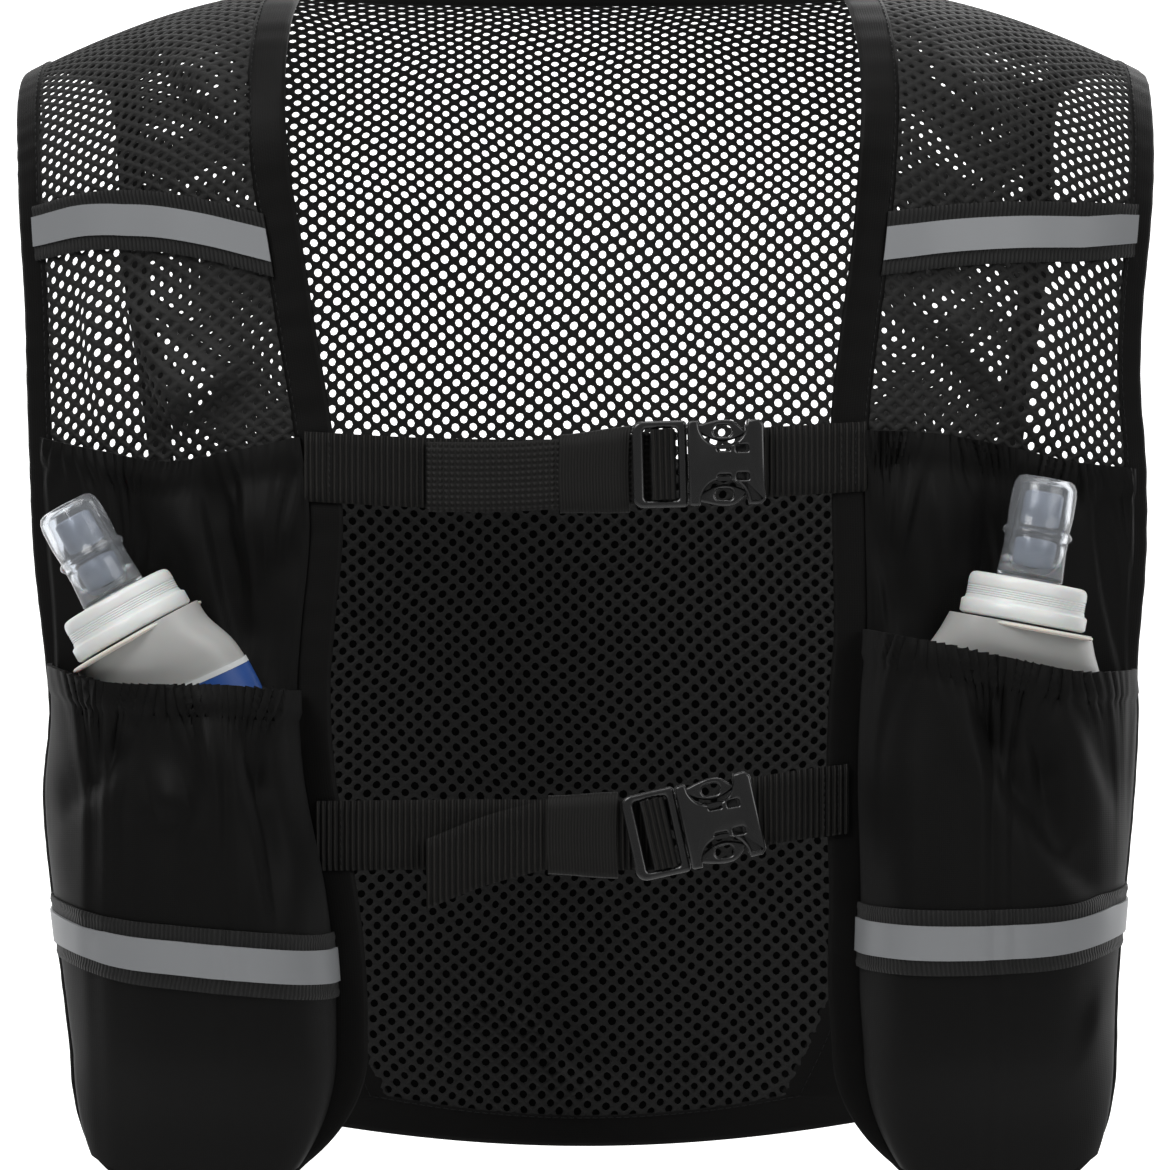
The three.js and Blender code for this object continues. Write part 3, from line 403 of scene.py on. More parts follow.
def stitches(name: str, line: Array, normals: Array, pitch: float, width: float) -> Obj:
    """Row of sewn stitches along a line: one small closed body, repeated as whole arrays.

    Each stitch is four-sided, widest in the middle, and its ends dip into the cloth.

    Args:
        name: name of the piece.
        line: points on the cloth, (n, 3).
        normals: the cloth's outward normals there, (n, 3).
        pitch: distance from one stitch to the next.
        width: thickness of the thread.

    Returns:
        The new object.
    """
    length = arc_length(line)
    places = np.arange(pitch, length[-1] - pitch / 2, pitch)
    centre = np.stack([np.interp(places, length, line[:, k]) for k in range(3)], -1)
    up = unit(np.stack([np.interp(places, length, normals[:, k]) for k in range(3)], -1))
    ahead = np.stack([np.interp(places + pitch / 4, length, line[:, k]) for k in range(3)], -1)
    along = unit(ahead - centre)
    side = np.cross(along, up)
    ends = np.array([-0.40, -0.26, 0.26, 0.40]) * pitch
    swell = np.array([0.35, 1.0, 1.0, 0.35]) * width / 2
    drop = np.array([-0.5, 0.15, 0.15, -0.5]) * width
    angle = np.arange(4) * math.pi / 2 + math.pi / 4
    a = ends[:, None] + 0 * angle
    b = swell[:, None] * np.cos(angle)
    c = drop[:, None] + swell[:, None] * np.sin(angle)
    points = (
        centre[:, None, None]
        + along[:, None, None] * a[None, ..., None]
        + side[:, None, None] * b[None, ..., None]
        + up[:, None, None] * c[None, ..., None]
    )
    shell = np.concatenate([quads(4, 4, True), [[3, 2, 1, 0]], [[12, 13, 14, 15]]])
    faces = (shell[None] + 16 * np.arange(len(places))[:, None, None]).reshape(-1, 4)
    return mesh_object(name, points, [faces])


# ------------------------------------------------------------------------------------- finishes


@dataclass(frozen=True)
class Finish:
    """Look of one material, worked out from nodes."""

    name: str
    slot: str
    colour: tuple[float, float, float]
    roughness: float
    pattern: Pattern = Pattern.PLAIN
    pitch: float = 0.001
    cross_pitch: float = 0.001
    relief: float = 0.3
    # Strength of the painted shade in the pattern's valleys.
    depth: float = 0.55
    uneven: float = 0.25
    patch: float = 0.02
    grain: float = 0.15
    grain_size: float = 0.0006
    metallic: float = 0.0
    specular: float = 0.5
    sheen: float = 0.0
    coat: float = 0.0
    transmission: float = 0.0
    ior: float = 1.45
    scatter: float = 0.0
    on_cloth: bool = True

    def build(self) -> bpy.types.Material:
        """Makes the node material.

        Colour is the base colour, varied by a soft noise, with painted shade that darkens it in the valleys
        of the pattern.
        The relief is waves along and across the cloth plus a fine grain, read as a bump; its waves also set
        the painted shade.

        Returns:
            The material.
        """
        material = bpy.data.materials.new(self.name)
        material.use_nodes = True
        nodes, links = material.node_tree.nodes, material.node_tree.links
        shader = nodes["Principled BSDF"]
        place = nodes.new("ShaderNodeTexCoord")
        space = place.outputs["UV" if self.on_cloth else "Object"]
        noises = []
        for size, detail in ((self.patch, 3.0), (self.grain_size, 2.0)):
            noise = nodes.new("ShaderNodeTexNoise")
            noise.inputs["Scale"].default_value = 1 / size
            noise.inputs["Detail"].default_value = detail
            links.new(place.outputs["Object"], noise.inputs["Vector"])
            noises.append(noise.outputs["Fac"])
        patches, grain = noises

        relief = self.waves(nodes, links, space)
        height = nodes.new("ShaderNodeMath")
        height.operation = "MULTIPLY_ADD"
        height.inputs[1].default_value = self.grain
        links.new(grain, height.inputs[0])
        links.new(relief, height.inputs[2])
        bump = nodes.new("ShaderNodeBump")
        bump.inputs["Strength"].default_value = min(self.relief * 2, 1.0)
        bump.inputs["Distance"].default_value = self.relief * min(self.pitch, 0.002)
        links.new(height.outputs[0], bump.inputs["Height"])
        links.new(bump.outputs["Normal"], shader.inputs["Normal"])

        light = tuple(min(c * (1 + self.uneven), 1.0) for c in self.colour)
        dark = tuple(c * (1 - self.uneven) for c in self.colour)
        tone = nodes.new("ShaderNodeMix")
        tone.data_type = "RGBA"
        tone.inputs["A"].default_value = (*dark, 1)
        tone.inputs["B"].default_value = (*light, 1)
        links.new(patches, tone.inputs["Factor"])
        # Painted shade: the colour is multiplied by the relief, so the pattern's valleys are darker.
        shade = nodes.new("ShaderNodeMix")
        shade.data_type = "RGBA"
        shade.blend_type = "MULTIPLY"
        shade.inputs["Factor"].default_value = 0.0 if self.pattern is Pattern.PLAIN else self.depth
        links.new(tone.outputs["Result"], shade.inputs["A"])
        links.new(relief, shade.inputs["B"])
        links.new(shade.outputs["Result"], shader.inputs["Base Color"])

        rough = nodes.new("ShaderNodeMapRange")
        rough.inputs["To Min"].default_value = max(self.roughness - 0.08, 0.02)
        rough.inputs["To Max"].default_value = min(self.roughness + 0.08, 1.0)
        links.new(patches, rough.inputs["Value"])
        links.new(rough.outputs["Result"], shader.inputs["Roughness"])
        for socket, value in (
            ("Metallic", self.metallic),
            ("Specular IOR Level", self.specular),
            ("Sheen Weight", self.sheen),
            ("Sheen Roughness", 0.4),
            ("Coat Weight", self.coat),
            ("Coat Roughness", 0.15),
            ("Transmission Weight", self.transmission),
            ("IOR", self.ior),
            ("Subsurface Weight", self.scatter),
            ("Subsurface Scale", 0.004),
        ):
            shader.inputs[socket].default_value = value
        return material

    def waves(self, nodes: bpy.types.Nodes, links: bpy.types.NodeLinks, space: bpy.types.NodeSocket):
        """Relief between 0 and 1: none, ribs along u, or the lesser or greater of two sets of ribs.

        Args:
            nodes: the material's nodes.
            links: the material's links.
            space: where the pattern is read.

        Returns:
            The socket with the relief.
        """
        if self.pattern is Pattern.PLAIN:
            flat = nodes.new("ShaderNodeValue")
            flat.outputs[0].default_value = 1.0
            return flat.outputs[0]
        bands = []
        for axis, pitch in (("X", self.pitch), ("Y", self.cross_pitch)):
            wave = nodes.new("ShaderNodeTexWave")
            wave.bands_direction = axis
            wave.inputs["Scale"].default_value = CIRCLE / 20 / pitch
            wave.inputs["Distortion"].default_value = 0.4
            wave.inputs["Detail"].default_value = 1.0
            links.new(space, wave.inputs["Vector"])
            bands.append(wave.outputs["Fac"])
            if self.pattern is Pattern.RIBS:
                return bands[0]
        both = nodes.new("ShaderNodeMath")
        both.operation = "MAXIMUM" if self.pattern is Pattern.WEAVE else "MULTIPLY"
        links.new(bands[0], both.inputs[0])
        links.new(bands[1], both.inputs[1])
        return both.outputs[0]


@dataclass
class Wardrobe:
    """All finishes of the vest, each built once."""

    net: Finish = Finish(
        "net_knit", "net", (0.0125, 0.0124, 0.0120), 0.6, specular=0.25, pitch=0.0005, grain=0.8, relief=0.5,
        grain_size=0.0004, sheen=0.02, on_cloth=False,
    )
    cloth: Finish = Finish(
        "stretch_cloth", "pocket_cloth", (0.0028, 0.0027, 0.0025), 0.58, Pattern.WEAVE, specular=0.14,
        pitch=0.0007, cross_pitch=0.0007, relief=0.16, uneven=0.3, patch=0.05, sheen=0.02,
    )
    binding: Finish = Finish(
        "folded_binding", "binding", (0.0032, 0.0030, 0.0028), 0.5, Pattern.WEAVE, specular=0.12,
        pitch=0.0006, cross_pitch=0.0009, relief=0.2, uneven=0.2, patch=0.04, sheen=0.02,
    )
    backing: Finish = Finish(
        "tape_backing", "tape_dark", (0.015, 0.015, 0.0147), 0.55, Pattern.RIBS, specular=0.25,
        pitch=0.0016, relief=0.35, uneven=0.15, sheen=0.03,
    )
    silver: Finish = Finish(
        "grey_film", "tape_silver", (0.24, 0.247, 0.256), 0.42, metallic=0.15, relief=0.1, specular=0.3,
        uneven=0.05, patch=0.05, grain=0.5, grain_size=0.00035,
    )
    # Ribs with deep painted shade in their valleys.
    webbing: Finish = Finish(
        "ribbed_webbing", "webbing", (0.0145, 0.0136, 0.0122), 0.55, Pattern.RIBS, specular=0.22,
        pitch=0.0021, depth=0.95, relief=0.5, uneven=0.2, sheen=0.04,
    )
    tail: Finish = Finish(
        "tail_webbing", "webbing", (0.0125, 0.0118, 0.0108), 0.55, Pattern.GRID, specular=0.2,
        pitch=0.0021, cross_pitch=0.0021, relief=0.4, uneven=0.2, sheen=0.04,
    )
    elastic: Finish = Finish(
        "ribbed_elastic", "elastic", (0.0100, 0.0096, 0.0088), 0.55, Pattern.RIBS, specular=0.18,
        pitch=0.0011, relief=0.25, uneven=0.15, sheen=0.03,
    )
    plastic: Finish = Finish(
        "moulded_black", "buckle_plastic", (0.0065, 0.0065, 0.0066), 0.24, relief=0.06, specular=0.6,
        uneven=0.1, patch=0.01, grain=0.6, grain_size=0.0003, coat=0.3, on_cloth=False,
    )
    cap: Finish = Finish(
        "milky_moulding", "cap_plastic", (0.70, 0.72, 0.71), 0.38, relief=0.06, uneven=0.06,
        grain=0.4, scatter=0.35, coat=0.1, on_cloth=False,
    )
    film: Finish = Finish(
        "soft_film", "flask_film", (0.50, 0.50, 0.485), 0.32, relief=0.1, uneven=0.12,
        patch=0.03, transmission=0.25, scatter=0.1, on_cloth=False,
    )
    collar: Finish = Finish(
        "welded_collar", "flask_film", (0.66, 0.66, 0.60), 0.4, relief=0.06, uneven=0.06,
        scatter=0.3, on_cloth=False,
    )
    valve: Finish = Finish(
        "clear_silicone", "valve_silicone", (0.86, 0.89, 0.93), 0.12, relief=0.04, uneven=0.03,
        transmission=0.92, ior=1.41, on_cloth=False,
    )
    # Painted shade of the valve's hollow: darker bluish cells seen through the clear wall.
    stem: Finish = Finish(
        "valve_stem", "valve_silicone", (0.36, 0.40, 0.48), 0.2, relief=0.04, uneven=0.1,
        transmission=0.3, on_cloth=False,
    )
    blue: Finish = Finish(
        "blue_patch", "flask_film", (0.018, 0.070, 0.27), 0.35, relief=0.05, uneven=0.08, on_cloth=False,
    )
    edge: Finish = Finish(
        "pale_edge", "flask_film", (0.62, 0.64, 0.64), 0.45, relief=0.05, uneven=0.05, on_cloth=False,
    )
    thread: Finish = Finish(
        "sewing_thread", "binding", (0.0070, 0.0070, 0.0070), 0.5, relief=0.2, specular=0.2, on_cloth=False,
    )
    built: dict[str, bpy.types.Material] = field(default_factory=dict)

    def dress(self, obj: Obj, finish: Finish, *nodes: str) -> Obj:
        """Gives a piece its finish, lets it ride on the vest, and hides the frame's nodes that it stands for.

        Args:
            obj: the piece.
            finish: its finish.
            nodes: the frame's nodes that it replaces.

        Returns:
            The same piece.
        """
        if finish.name not in self.built:
            self.built[finish.name] = finish.build()
        obj.data.materials.clear()
        obj.data.materials.append(self.built[finish.name])
        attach(obj, "root")
        if nodes:
            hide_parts(*nodes)
        LOG.info("%s: %d faces, %s", obj.name, len(obj.data.polygons), finish.name)
        return obj

    def sew(self, name: str, line: Array, normals: Array) -> None:
        """Makes and dresses a row of stitches along a line."""
        self.dress(stitches(name, line, normals, STITCH_PITCH, THREAD), self.thread)


# --------------------------------------------------------------------------------------- cutting


@dataclass(frozen=True)
class Fold:
    """Crease of the cloth from one place to another: x and drop from the ridge, in metres."""

    x0: float
    drop0: float
    x1: float
    drop1: float
    height: float
    steep: float = 0.0035
    gentle: float = 0.009


def fold_lift(folds: tuple[Fold, ...], x: Array, z: Array) -> Array:
    """Height of the folds at a place on the cloth.

    Each fold is a ridge or valley that falls off with the square of the distance from its line,
    quickly on its steep side and slowly on the other, and that fades at both ends.

    Args:
        folds: the folds.
        x: place across.
        z: height of the place.

    Returns:
        The sum of the folds' heights, each FOLD_SCALE times what its row says.
    """
    total = np.zeros(np.broadcast(x, z).shape)
    for fold in folds:
        start = np.array([fold.x0, -fold.drop0])
        run = np.array([fold.x1, -fold.drop1]) - start
        length = float(np.hypot(*run))
        dx, dz = x - start[0], z - start[1]
        along = (dx * run[0] + dz * run[1]) / length**2
        off = (dx * run[1] - dz * run[0]) / length
        width = np.where(off > 0, fold.steep, fold.gentle)
        beyond = np.maximum(np.maximum(-along, along - 1), 0) * length
        arch = 0.35 + 0.65 * np.sin(math.pi * np.clip(along, 0.02, 0.98))
        fade = np.exp(-((beyond / fold.gentle) ** 2)) * arch
        total = total + FOLD_SCALE * fold.height * np.exp(-((off / width) ** 2)) * fade
    return total


DOWN = (
    0.0, 0.06, 0.13, 0.2, 0.27, 0.33, 0.39, 0.45,
    0.52, 0.6, 0.64, 0.7, 0.78, 0.84, 0.89,
)
LEFT_IN = (
    0.49, 0.507, 0.521, 0.525, 0.517, 0.493, 0.469, 0.444,
    0.422, 0.438, 0.444, 0.435, 0.397, 0.381, 0.379,
)
LEFT_OUT = (
    1.01, 1.02, 1.02, 1.012, 1.005, 0.996, 0.992, 0.987,
    0.979, 0.957, 0.95, 0.962, 0.944, 0.926, 0.911,
)
RIGHT_IN = (
    0.45, 0.46, 0.475, 0.483, 0.477, 0.465, 0.445, 0.429,
    0.431, 0.434, 0.426, 0.421, 0.426, 0.424, 0.432,
)
RIGHT_OUT = (
    1.005, 1.018, 1.018, 1.015, 1.006, 0.992, 0.987, 0.998,
    0.998, 0.982, 0.984, 0.976, 0.958, 0.946, 0.943,
)
STOPS = (0.0, 0.25, 0.5, 0.75, 1.0)
TURN_SHARE = 0.89
GAP = 0.0003
TUCK = 0.0045
INNER_WIDTH = 0.014
ARM_WIDTH = 0.009


@dataclass(frozen=True)
class PanelCut:
    """Outline of one front panel and the lines across it."""

    side: Side
    inner: Curve
    outer: Curve
    upper_rim: Curve
    flask_rim: Curve
    chest_tape: Curve
    pocket_tape: Curve
    skew: float = 0.006
    overlap: float = 0.0022
    tuck: float = 0.006

    @property
    def bottom_run(self) -> float:
        """Length of the rounded bottom."""
        return (1 - TURN_SHARE) * FORM.run

    @property
    def seam_q(self) -> float:
        """Where the bottom seam lies, on the scale of spot()."""
        return 2 - INNER_WIDTH / self.bottom_run

    def edges(self, share: Array) -> tuple[Array, Array]:
        """x of the opening edge and of the arm edge at a share of the run."""
        share = np.minimum(share, TURN_SHARE)
        scale = self.side.value * FORM.half_width
        return scale * self.inner(share), scale * self.outer(share)

    def spot(self, u: Array, q: Array) -> tuple[Array, Array]:
        """x and share of a place on the panel.

        Above q = 1 the panel is straight. Below it a square is pressed into a half disc.

        Args:
            u: from -1 at the opening edge to 1 at the arm edge.
            q: from 0 at the ridge, 1 where the bottom starts to round, to 2 at the lowest point.

        Returns:
            x and share.
        """
        u, q = np.broadcast_arrays(np.asarray(u, float), np.asarray(q, float))
        straight = np.minimum(q, 1) * TURN_SHARE
        inner, outer = self.edges(straight)
        r = np.maximum(q - 1, 0)
        x = (inner + outer) / 2 + self.side.value * self.skew * r**2
        x = x + (outer - inner) / 2 * u * np.sqrt(1 - r**2 / 2)
        return x, straight + (1 - TURN_SHARE) * r * np.sqrt(1 - u**2 / 2)

    def seam_u(self, q: Array, width: float) -> Array:
        """u of a line that runs a width in from the opening edge."""
        inner, outer = self.edges(np.minimum(q, 1) * TURN_SHARE)
        return -1 + 2 * width / np.abs(outer - inner)

    def laid(self, k: Array, q: Array) -> tuple[Array, Array]:
        """Spot of cloth laid over the panel: k from the inner seam to just short of the arm edge."""
        seam = INNER_WIDTH - self.overlap
        start = self.seam_u(q, seam)
        stop = 1 + start - self.seam_u(q, seam + self.strip(q))
        return self.spot(start + (stop - start) * k, q)

    def cover(self, k: Array, share: Array) -> tuple[Array, Array]:
        """Spot of cloth at a share of the run."""
        return self.laid(k, np.asarray(share, float) / TURN_SHARE)

    def strip(self, q: Array) -> Array:
        """Width of the arm binding left bare beside the pockets: less from the flask rim down."""
        return 0.0066 - 0.0026 * smooth(q, 0.60, 0.72)

    def line_share(self, line: Curve, k: Array) -> Array:
        """Share of the run at which a line across the panel lies."""
        x, _ = self.cover(k, np.full(np.shape(k), TURN_SHARE * 0.6))
        return FORM.share_at(x, -FORM.body_length * line(k), Facing.FRONT)

    def cover_row(self, k: Array, line: Curve, t: Array) -> tuple[Array, Array]:
        """Spot of cloth from a line (t = 0) down to a little past the bottom seam (t = 1)."""
        top = self.line_share(line, k) / TURN_SHARE
        return self.laid(k, top + (self.seam_q + self.tuck / self.bottom_run - top) * t)

    def outline(self, opening: bool) -> Array:
        """Edge of the panel in the cloth plane.

        Straight part by the edge's table, then an arc of the rounded bottom to 45 degrees on the
        arm side, shifted by the skew.

        Args:
            opening: the opening edge and the bottom, or else the arm edge.

        Returns:
            x and s of each point, (n, 2).
        """
        share = np.linspace(GAP / FORM.run, TURN_SHARE, 150)
        inner, outer = self.edges(share)
        straight = np.stack([inner if opening else outer, share * FORM.run], -1)
        inner, outer = self.edges(np.array(TURN_SHARE))
        start, steps = (math.pi, 90) if opening else (0.0, 24)
        angle = np.linspace(start, math.pi / 4, steps)[1:]
        cos, sin = np.cos(angle), np.sin(angle)
        r2 = np.where(np.abs(cos) < math.sqrt(0.5), 1.0, 2 * sin**2)
        x = (inner + outer) / 2 + self.side.value * self.skew * r2 + (outer - inner) / 2 * cos
        s = (TURN_SHARE + (1 - TURN_SHARE) * sin) * FORM.run
        return np.concatenate([straight, np.stack([x, s], -1)])

    def inside(self, x: Array, s: Array, at_opening: float, at_arm: float) -> Array:
        """Whether a place in the cloth plane lies inside the edges by the given widths."""
        share = s / FORM.run
        inner, outer = self.edges(share)
        sign = self.side.value
        straight = (sign * (x - inner) > at_opening) & (sign * (outer - x) > at_arm)
        half = np.abs(outer - inner) / 2
        drop = np.maximum(share - TURN_SHARE, 0) * FORM.run
        reach = self.bottom_run - at_opening
        rounded = (sign * (x - (inner + outer) / 2) - self.skew * (drop / reach) ** 2) / (half - at_arm)
        return straight & (s > 0.0006) & (np.where(drop > 0, rounded**2 + (drop / reach) ** 2, 0) < 1)


LEFT_CUT = PanelCut(
    Side.LEFT,
    Curve(DOWN, LEFT_IN),
    Curve(DOWN, LEFT_OUT),
    upper_rim=Curve(STOPS, (0.379, 0.3895, 0.3975, 0.388, 0.3755)),
    flask_rim=Curve(STOPS, (0.582, 0.577, 0.576, 0.574, 0.562)),
    chest_tape=Curve(STOPS, (0.199, 0.1825, 0.173, 0.1735, 0.184)),
    pocket_tape=Curve(STOPS, (0.776, 0.77, 0.766, 0.761, 0.7475)),
)
RIGHT_CUT = PanelCut(
    Side.RIGHT,
    Curve(DOWN, RIGHT_IN),
    Curve(DOWN, RIGHT_OUT),
    upper_rim=Curve(STOPS, (0.3735, 0.376, 0.3855, 0.3975, 0.4025)),
    flask_rim=Curve(STOPS, (0.533, 0.544, 0.556, 0.5665, 0.5665)),
    chest_tape=Curve(STOPS, (0.198, 0.19, 0.186, 0.185, 0.185)),
    pocket_tape=Curve(STOPS, (0.7515, 0.753, 0.753, 0.751, 0.74)),
)


@dataclass(frozen=True)
class BackCut:
    """Outline of the back panel: where its net ends and where its binding ends."""

    down: tuple[float, ...] = (
        0.0, 0.06, 0.12, 0.2, 0.3, 0.4, 0.5, 0.6, 0.66, 0.72, 0.78, 0.86, 0.91, 0.955,
    )
    net: tuple[float, ...] = (
        0.955, 0.91, 0.85, 0.84, 0.833, 0.8, 0.775, 0.765, 0.7, 0.59, 0.515, 0.475, 0.43, 0.375,
    )
    edge: tuple[float, ...] = (
        1.0, 0.955, 0.895, 0.885, 0.878, 0.845, 0.82, 0.81, 0.81, 0.81, 0.808, 0.8, 0.785, 0.75,
    )
    neck_seam: float = 0.110
    neck_binding: float = 0.020
    bottom: float = 0.97
    bottom_dip: float = 0.015
    hem_middle: float = 0.994

    def net_half(self, share: Array) -> Array:
        """Half width of the net."""
        return FORM.half_width * Curve(self.down, self.net)(share)

    def edge_half(self, share: Array) -> Array:
        """Half width to the binding's outer edge."""
        return FORM.half_width * Curve(self.down, self.edge)(share)

    def top(self, x: Array) -> Array:
        """Share at which the net starts below the neck binding."""
        turn = np.maximum(1 - (np.asarray(x) / self.neck_seam) ** 2, 0) ** 0.25
        return self.neck_binding / FORM.run * turn

    def inside(self, x: Array, s: Array, under: float) -> Array:
        """Whether a place lies on the net, which runs under its bindings by the given width."""
        share = s / FORM.run
        half = self.net_half(share)
        low = self.bottom - self.bottom_dip * np.clip(x / half, -1, 1) ** 2 + under / FORM.run
        high = self.top(x) - under / FORM.run
        return (np.abs(x) < half + under) & (share > high) & (s > 0.0006) & (share < low)

    def hem(self, c: Array, side: float) -> Array:
        """Share of a curved hem: at the middle for c = 0, and at the given share for c = 1."""
        return self.hem_middle - (self.hem_middle - side) * c**2


BACK_CUT = BackCut()
BACK_FOLDS = (
    Fold(-0.0615, 0.390, -0.037, 0.382, -0.005),
    Fold(-0.037, 0.382, -0.018, 0.392, -0.006),
    Fold(-0.018, 0.392, -0.002, 0.424, -0.005),
    Fold(0.0555, 0.407, 0.036, 0.422, -0.005),
    Fold(-0.094, 0.224, -0.072, 0.236, -0.003),
    Fold(0.004, 0.418, 0.045, 0.426, -0.003),
)
FRONT_FOLDS = {
    Side.LEFT: (
        Fold(-0.164, 0.112, -0.140, 0.168, 0.0085, 0.006, 0.016),
        Fold(-0.150, 0.160, -0.112, 0.140, 0.006, 0.005, 0.013),
        Fold(-0.180, 0.096, -0.172, 0.165, 0.004, 0.005, 0.010),
        Fold(-0.150, 0.030, -0.120, 0.062, 0.004, 0.005, 0.012),
    ),
    Side.RIGHT: (
        Fold(0.118, 0.112, 0.156, 0.162, 0.0065, 0.006, 0.015),
        Fold(0.168, 0.098, 0.162, 0.168, 0.0045, 0.005, 0.012),
        Fold(0.122, 0.030, 0.150, 0.060, 0.004, 0.005, 0.012),
    ),
}
UPPER_FOLDS = {
    Side.LEFT: (
        Fold(-0.1322, 0.187, -0.1315, 0.203, -0.0034, 0.0028, 0.008),
        Fold(-0.1315, 0.199, -0.125, 0.234, -0.0050, 0.0026, 0.009),
        Fold(-0.125, 0.230, -0.1195, 0.248, -0.0044, 0.0026, 0.008),
        Fold(-0.1018, 0.206, -0.1125, 0.221, -0.0034, 0.0028, 0.008),
        Fold(-0.1125, 0.217, -0.1125, 0.250, -0.0046, 0.0028, 0.008),
        Fold(-0.157, 0.184, -0.137, 0.216, 0.0026, 0.006, 0.010),
        Fold(-0.116, 0.182, -0.121, 0.214, 0.0036, 0.006, 0.010),
        Fold(-0.172, 0.182, -0.176, 0.225, 0.002, 0.004, 0.006),
    ),
    Side.RIGHT: (
        Fold(0.102, 0.203, 0.108, 0.219, -0.0036, 0.0028, 0.007),
        Fold(0.108, 0.215, 0.111, 0.240, -0.0044, 0.0026, 0.007),
        Fold(0.144, 0.183, 0.141, 0.214, -0.003, 0.003, 0.009),
        Fold(0.184, 0.189, 0.187, 0.222, -0.003, 0.0025, 0.007),
        Fold(0.187, 0.220, 0.193, 0.248, -0.003, 0.0025, 0.006),
        Fold(0.124, 0.180, 0.126, 0.214, 0.0026, 0.003, 0.007),
    ),
}
FLASK_FOLDS = {
    Side.LEFT: (
        Fold(-0.120, 0.278, -0.115, 0.300, -0.0030, 0.0025, 0.008),
        Fold(-0.115, 0.298, -0.109, 0.332, -0.0034, 0.0025, 0.008),
        Fold(-0.132, 0.268, -0.128, 0.292, 0.0024, 0.004, 0.009),
        Fold(-0.131, 0.294, -0.137, 0.320, 0.0018, 0.004, 0.008),
        Fold(-0.185, 0.304, -0.165, 0.286, -0.0026, 0.004, 0.009),
        Fold(-0.165, 0.286, -0.158, 0.270, -0.0022, 0.004, 0.008),
        Fold(-0.188, 0.330, -0.168, 0.345, 0.0016, 0.005, 0.010),
        Fold(-0.150, 0.300, -0.138, 0.296, 0.0020, 0.005, 0.010),
    ),
    Side.RIGHT: (
        Fold(0.1357, 0.262, 0.146, 0.288, -0.0030, 0.004, 0.010),
        Fold(0.146, 0.288, 0.166, 0.318, -0.0032, 0.004, 0.012),
        Fold(0.166, 0.318, 0.184, 0.334, -0.0020, 0.004, 0.009),
        Fold(0.156, 0.274, 0.161, 0.296, -0.0026, 0.003, 0.008),
        Fold(0.176, 0.272, 0.186, 0.298, -0.0022, 0.003, 0.008),
        Fold(0.184, 0.368, 0.177, 0.388, 0.0016, 0.004, 0.008),
    ),
}


# ------------------------------------------------------------------------------------------ net


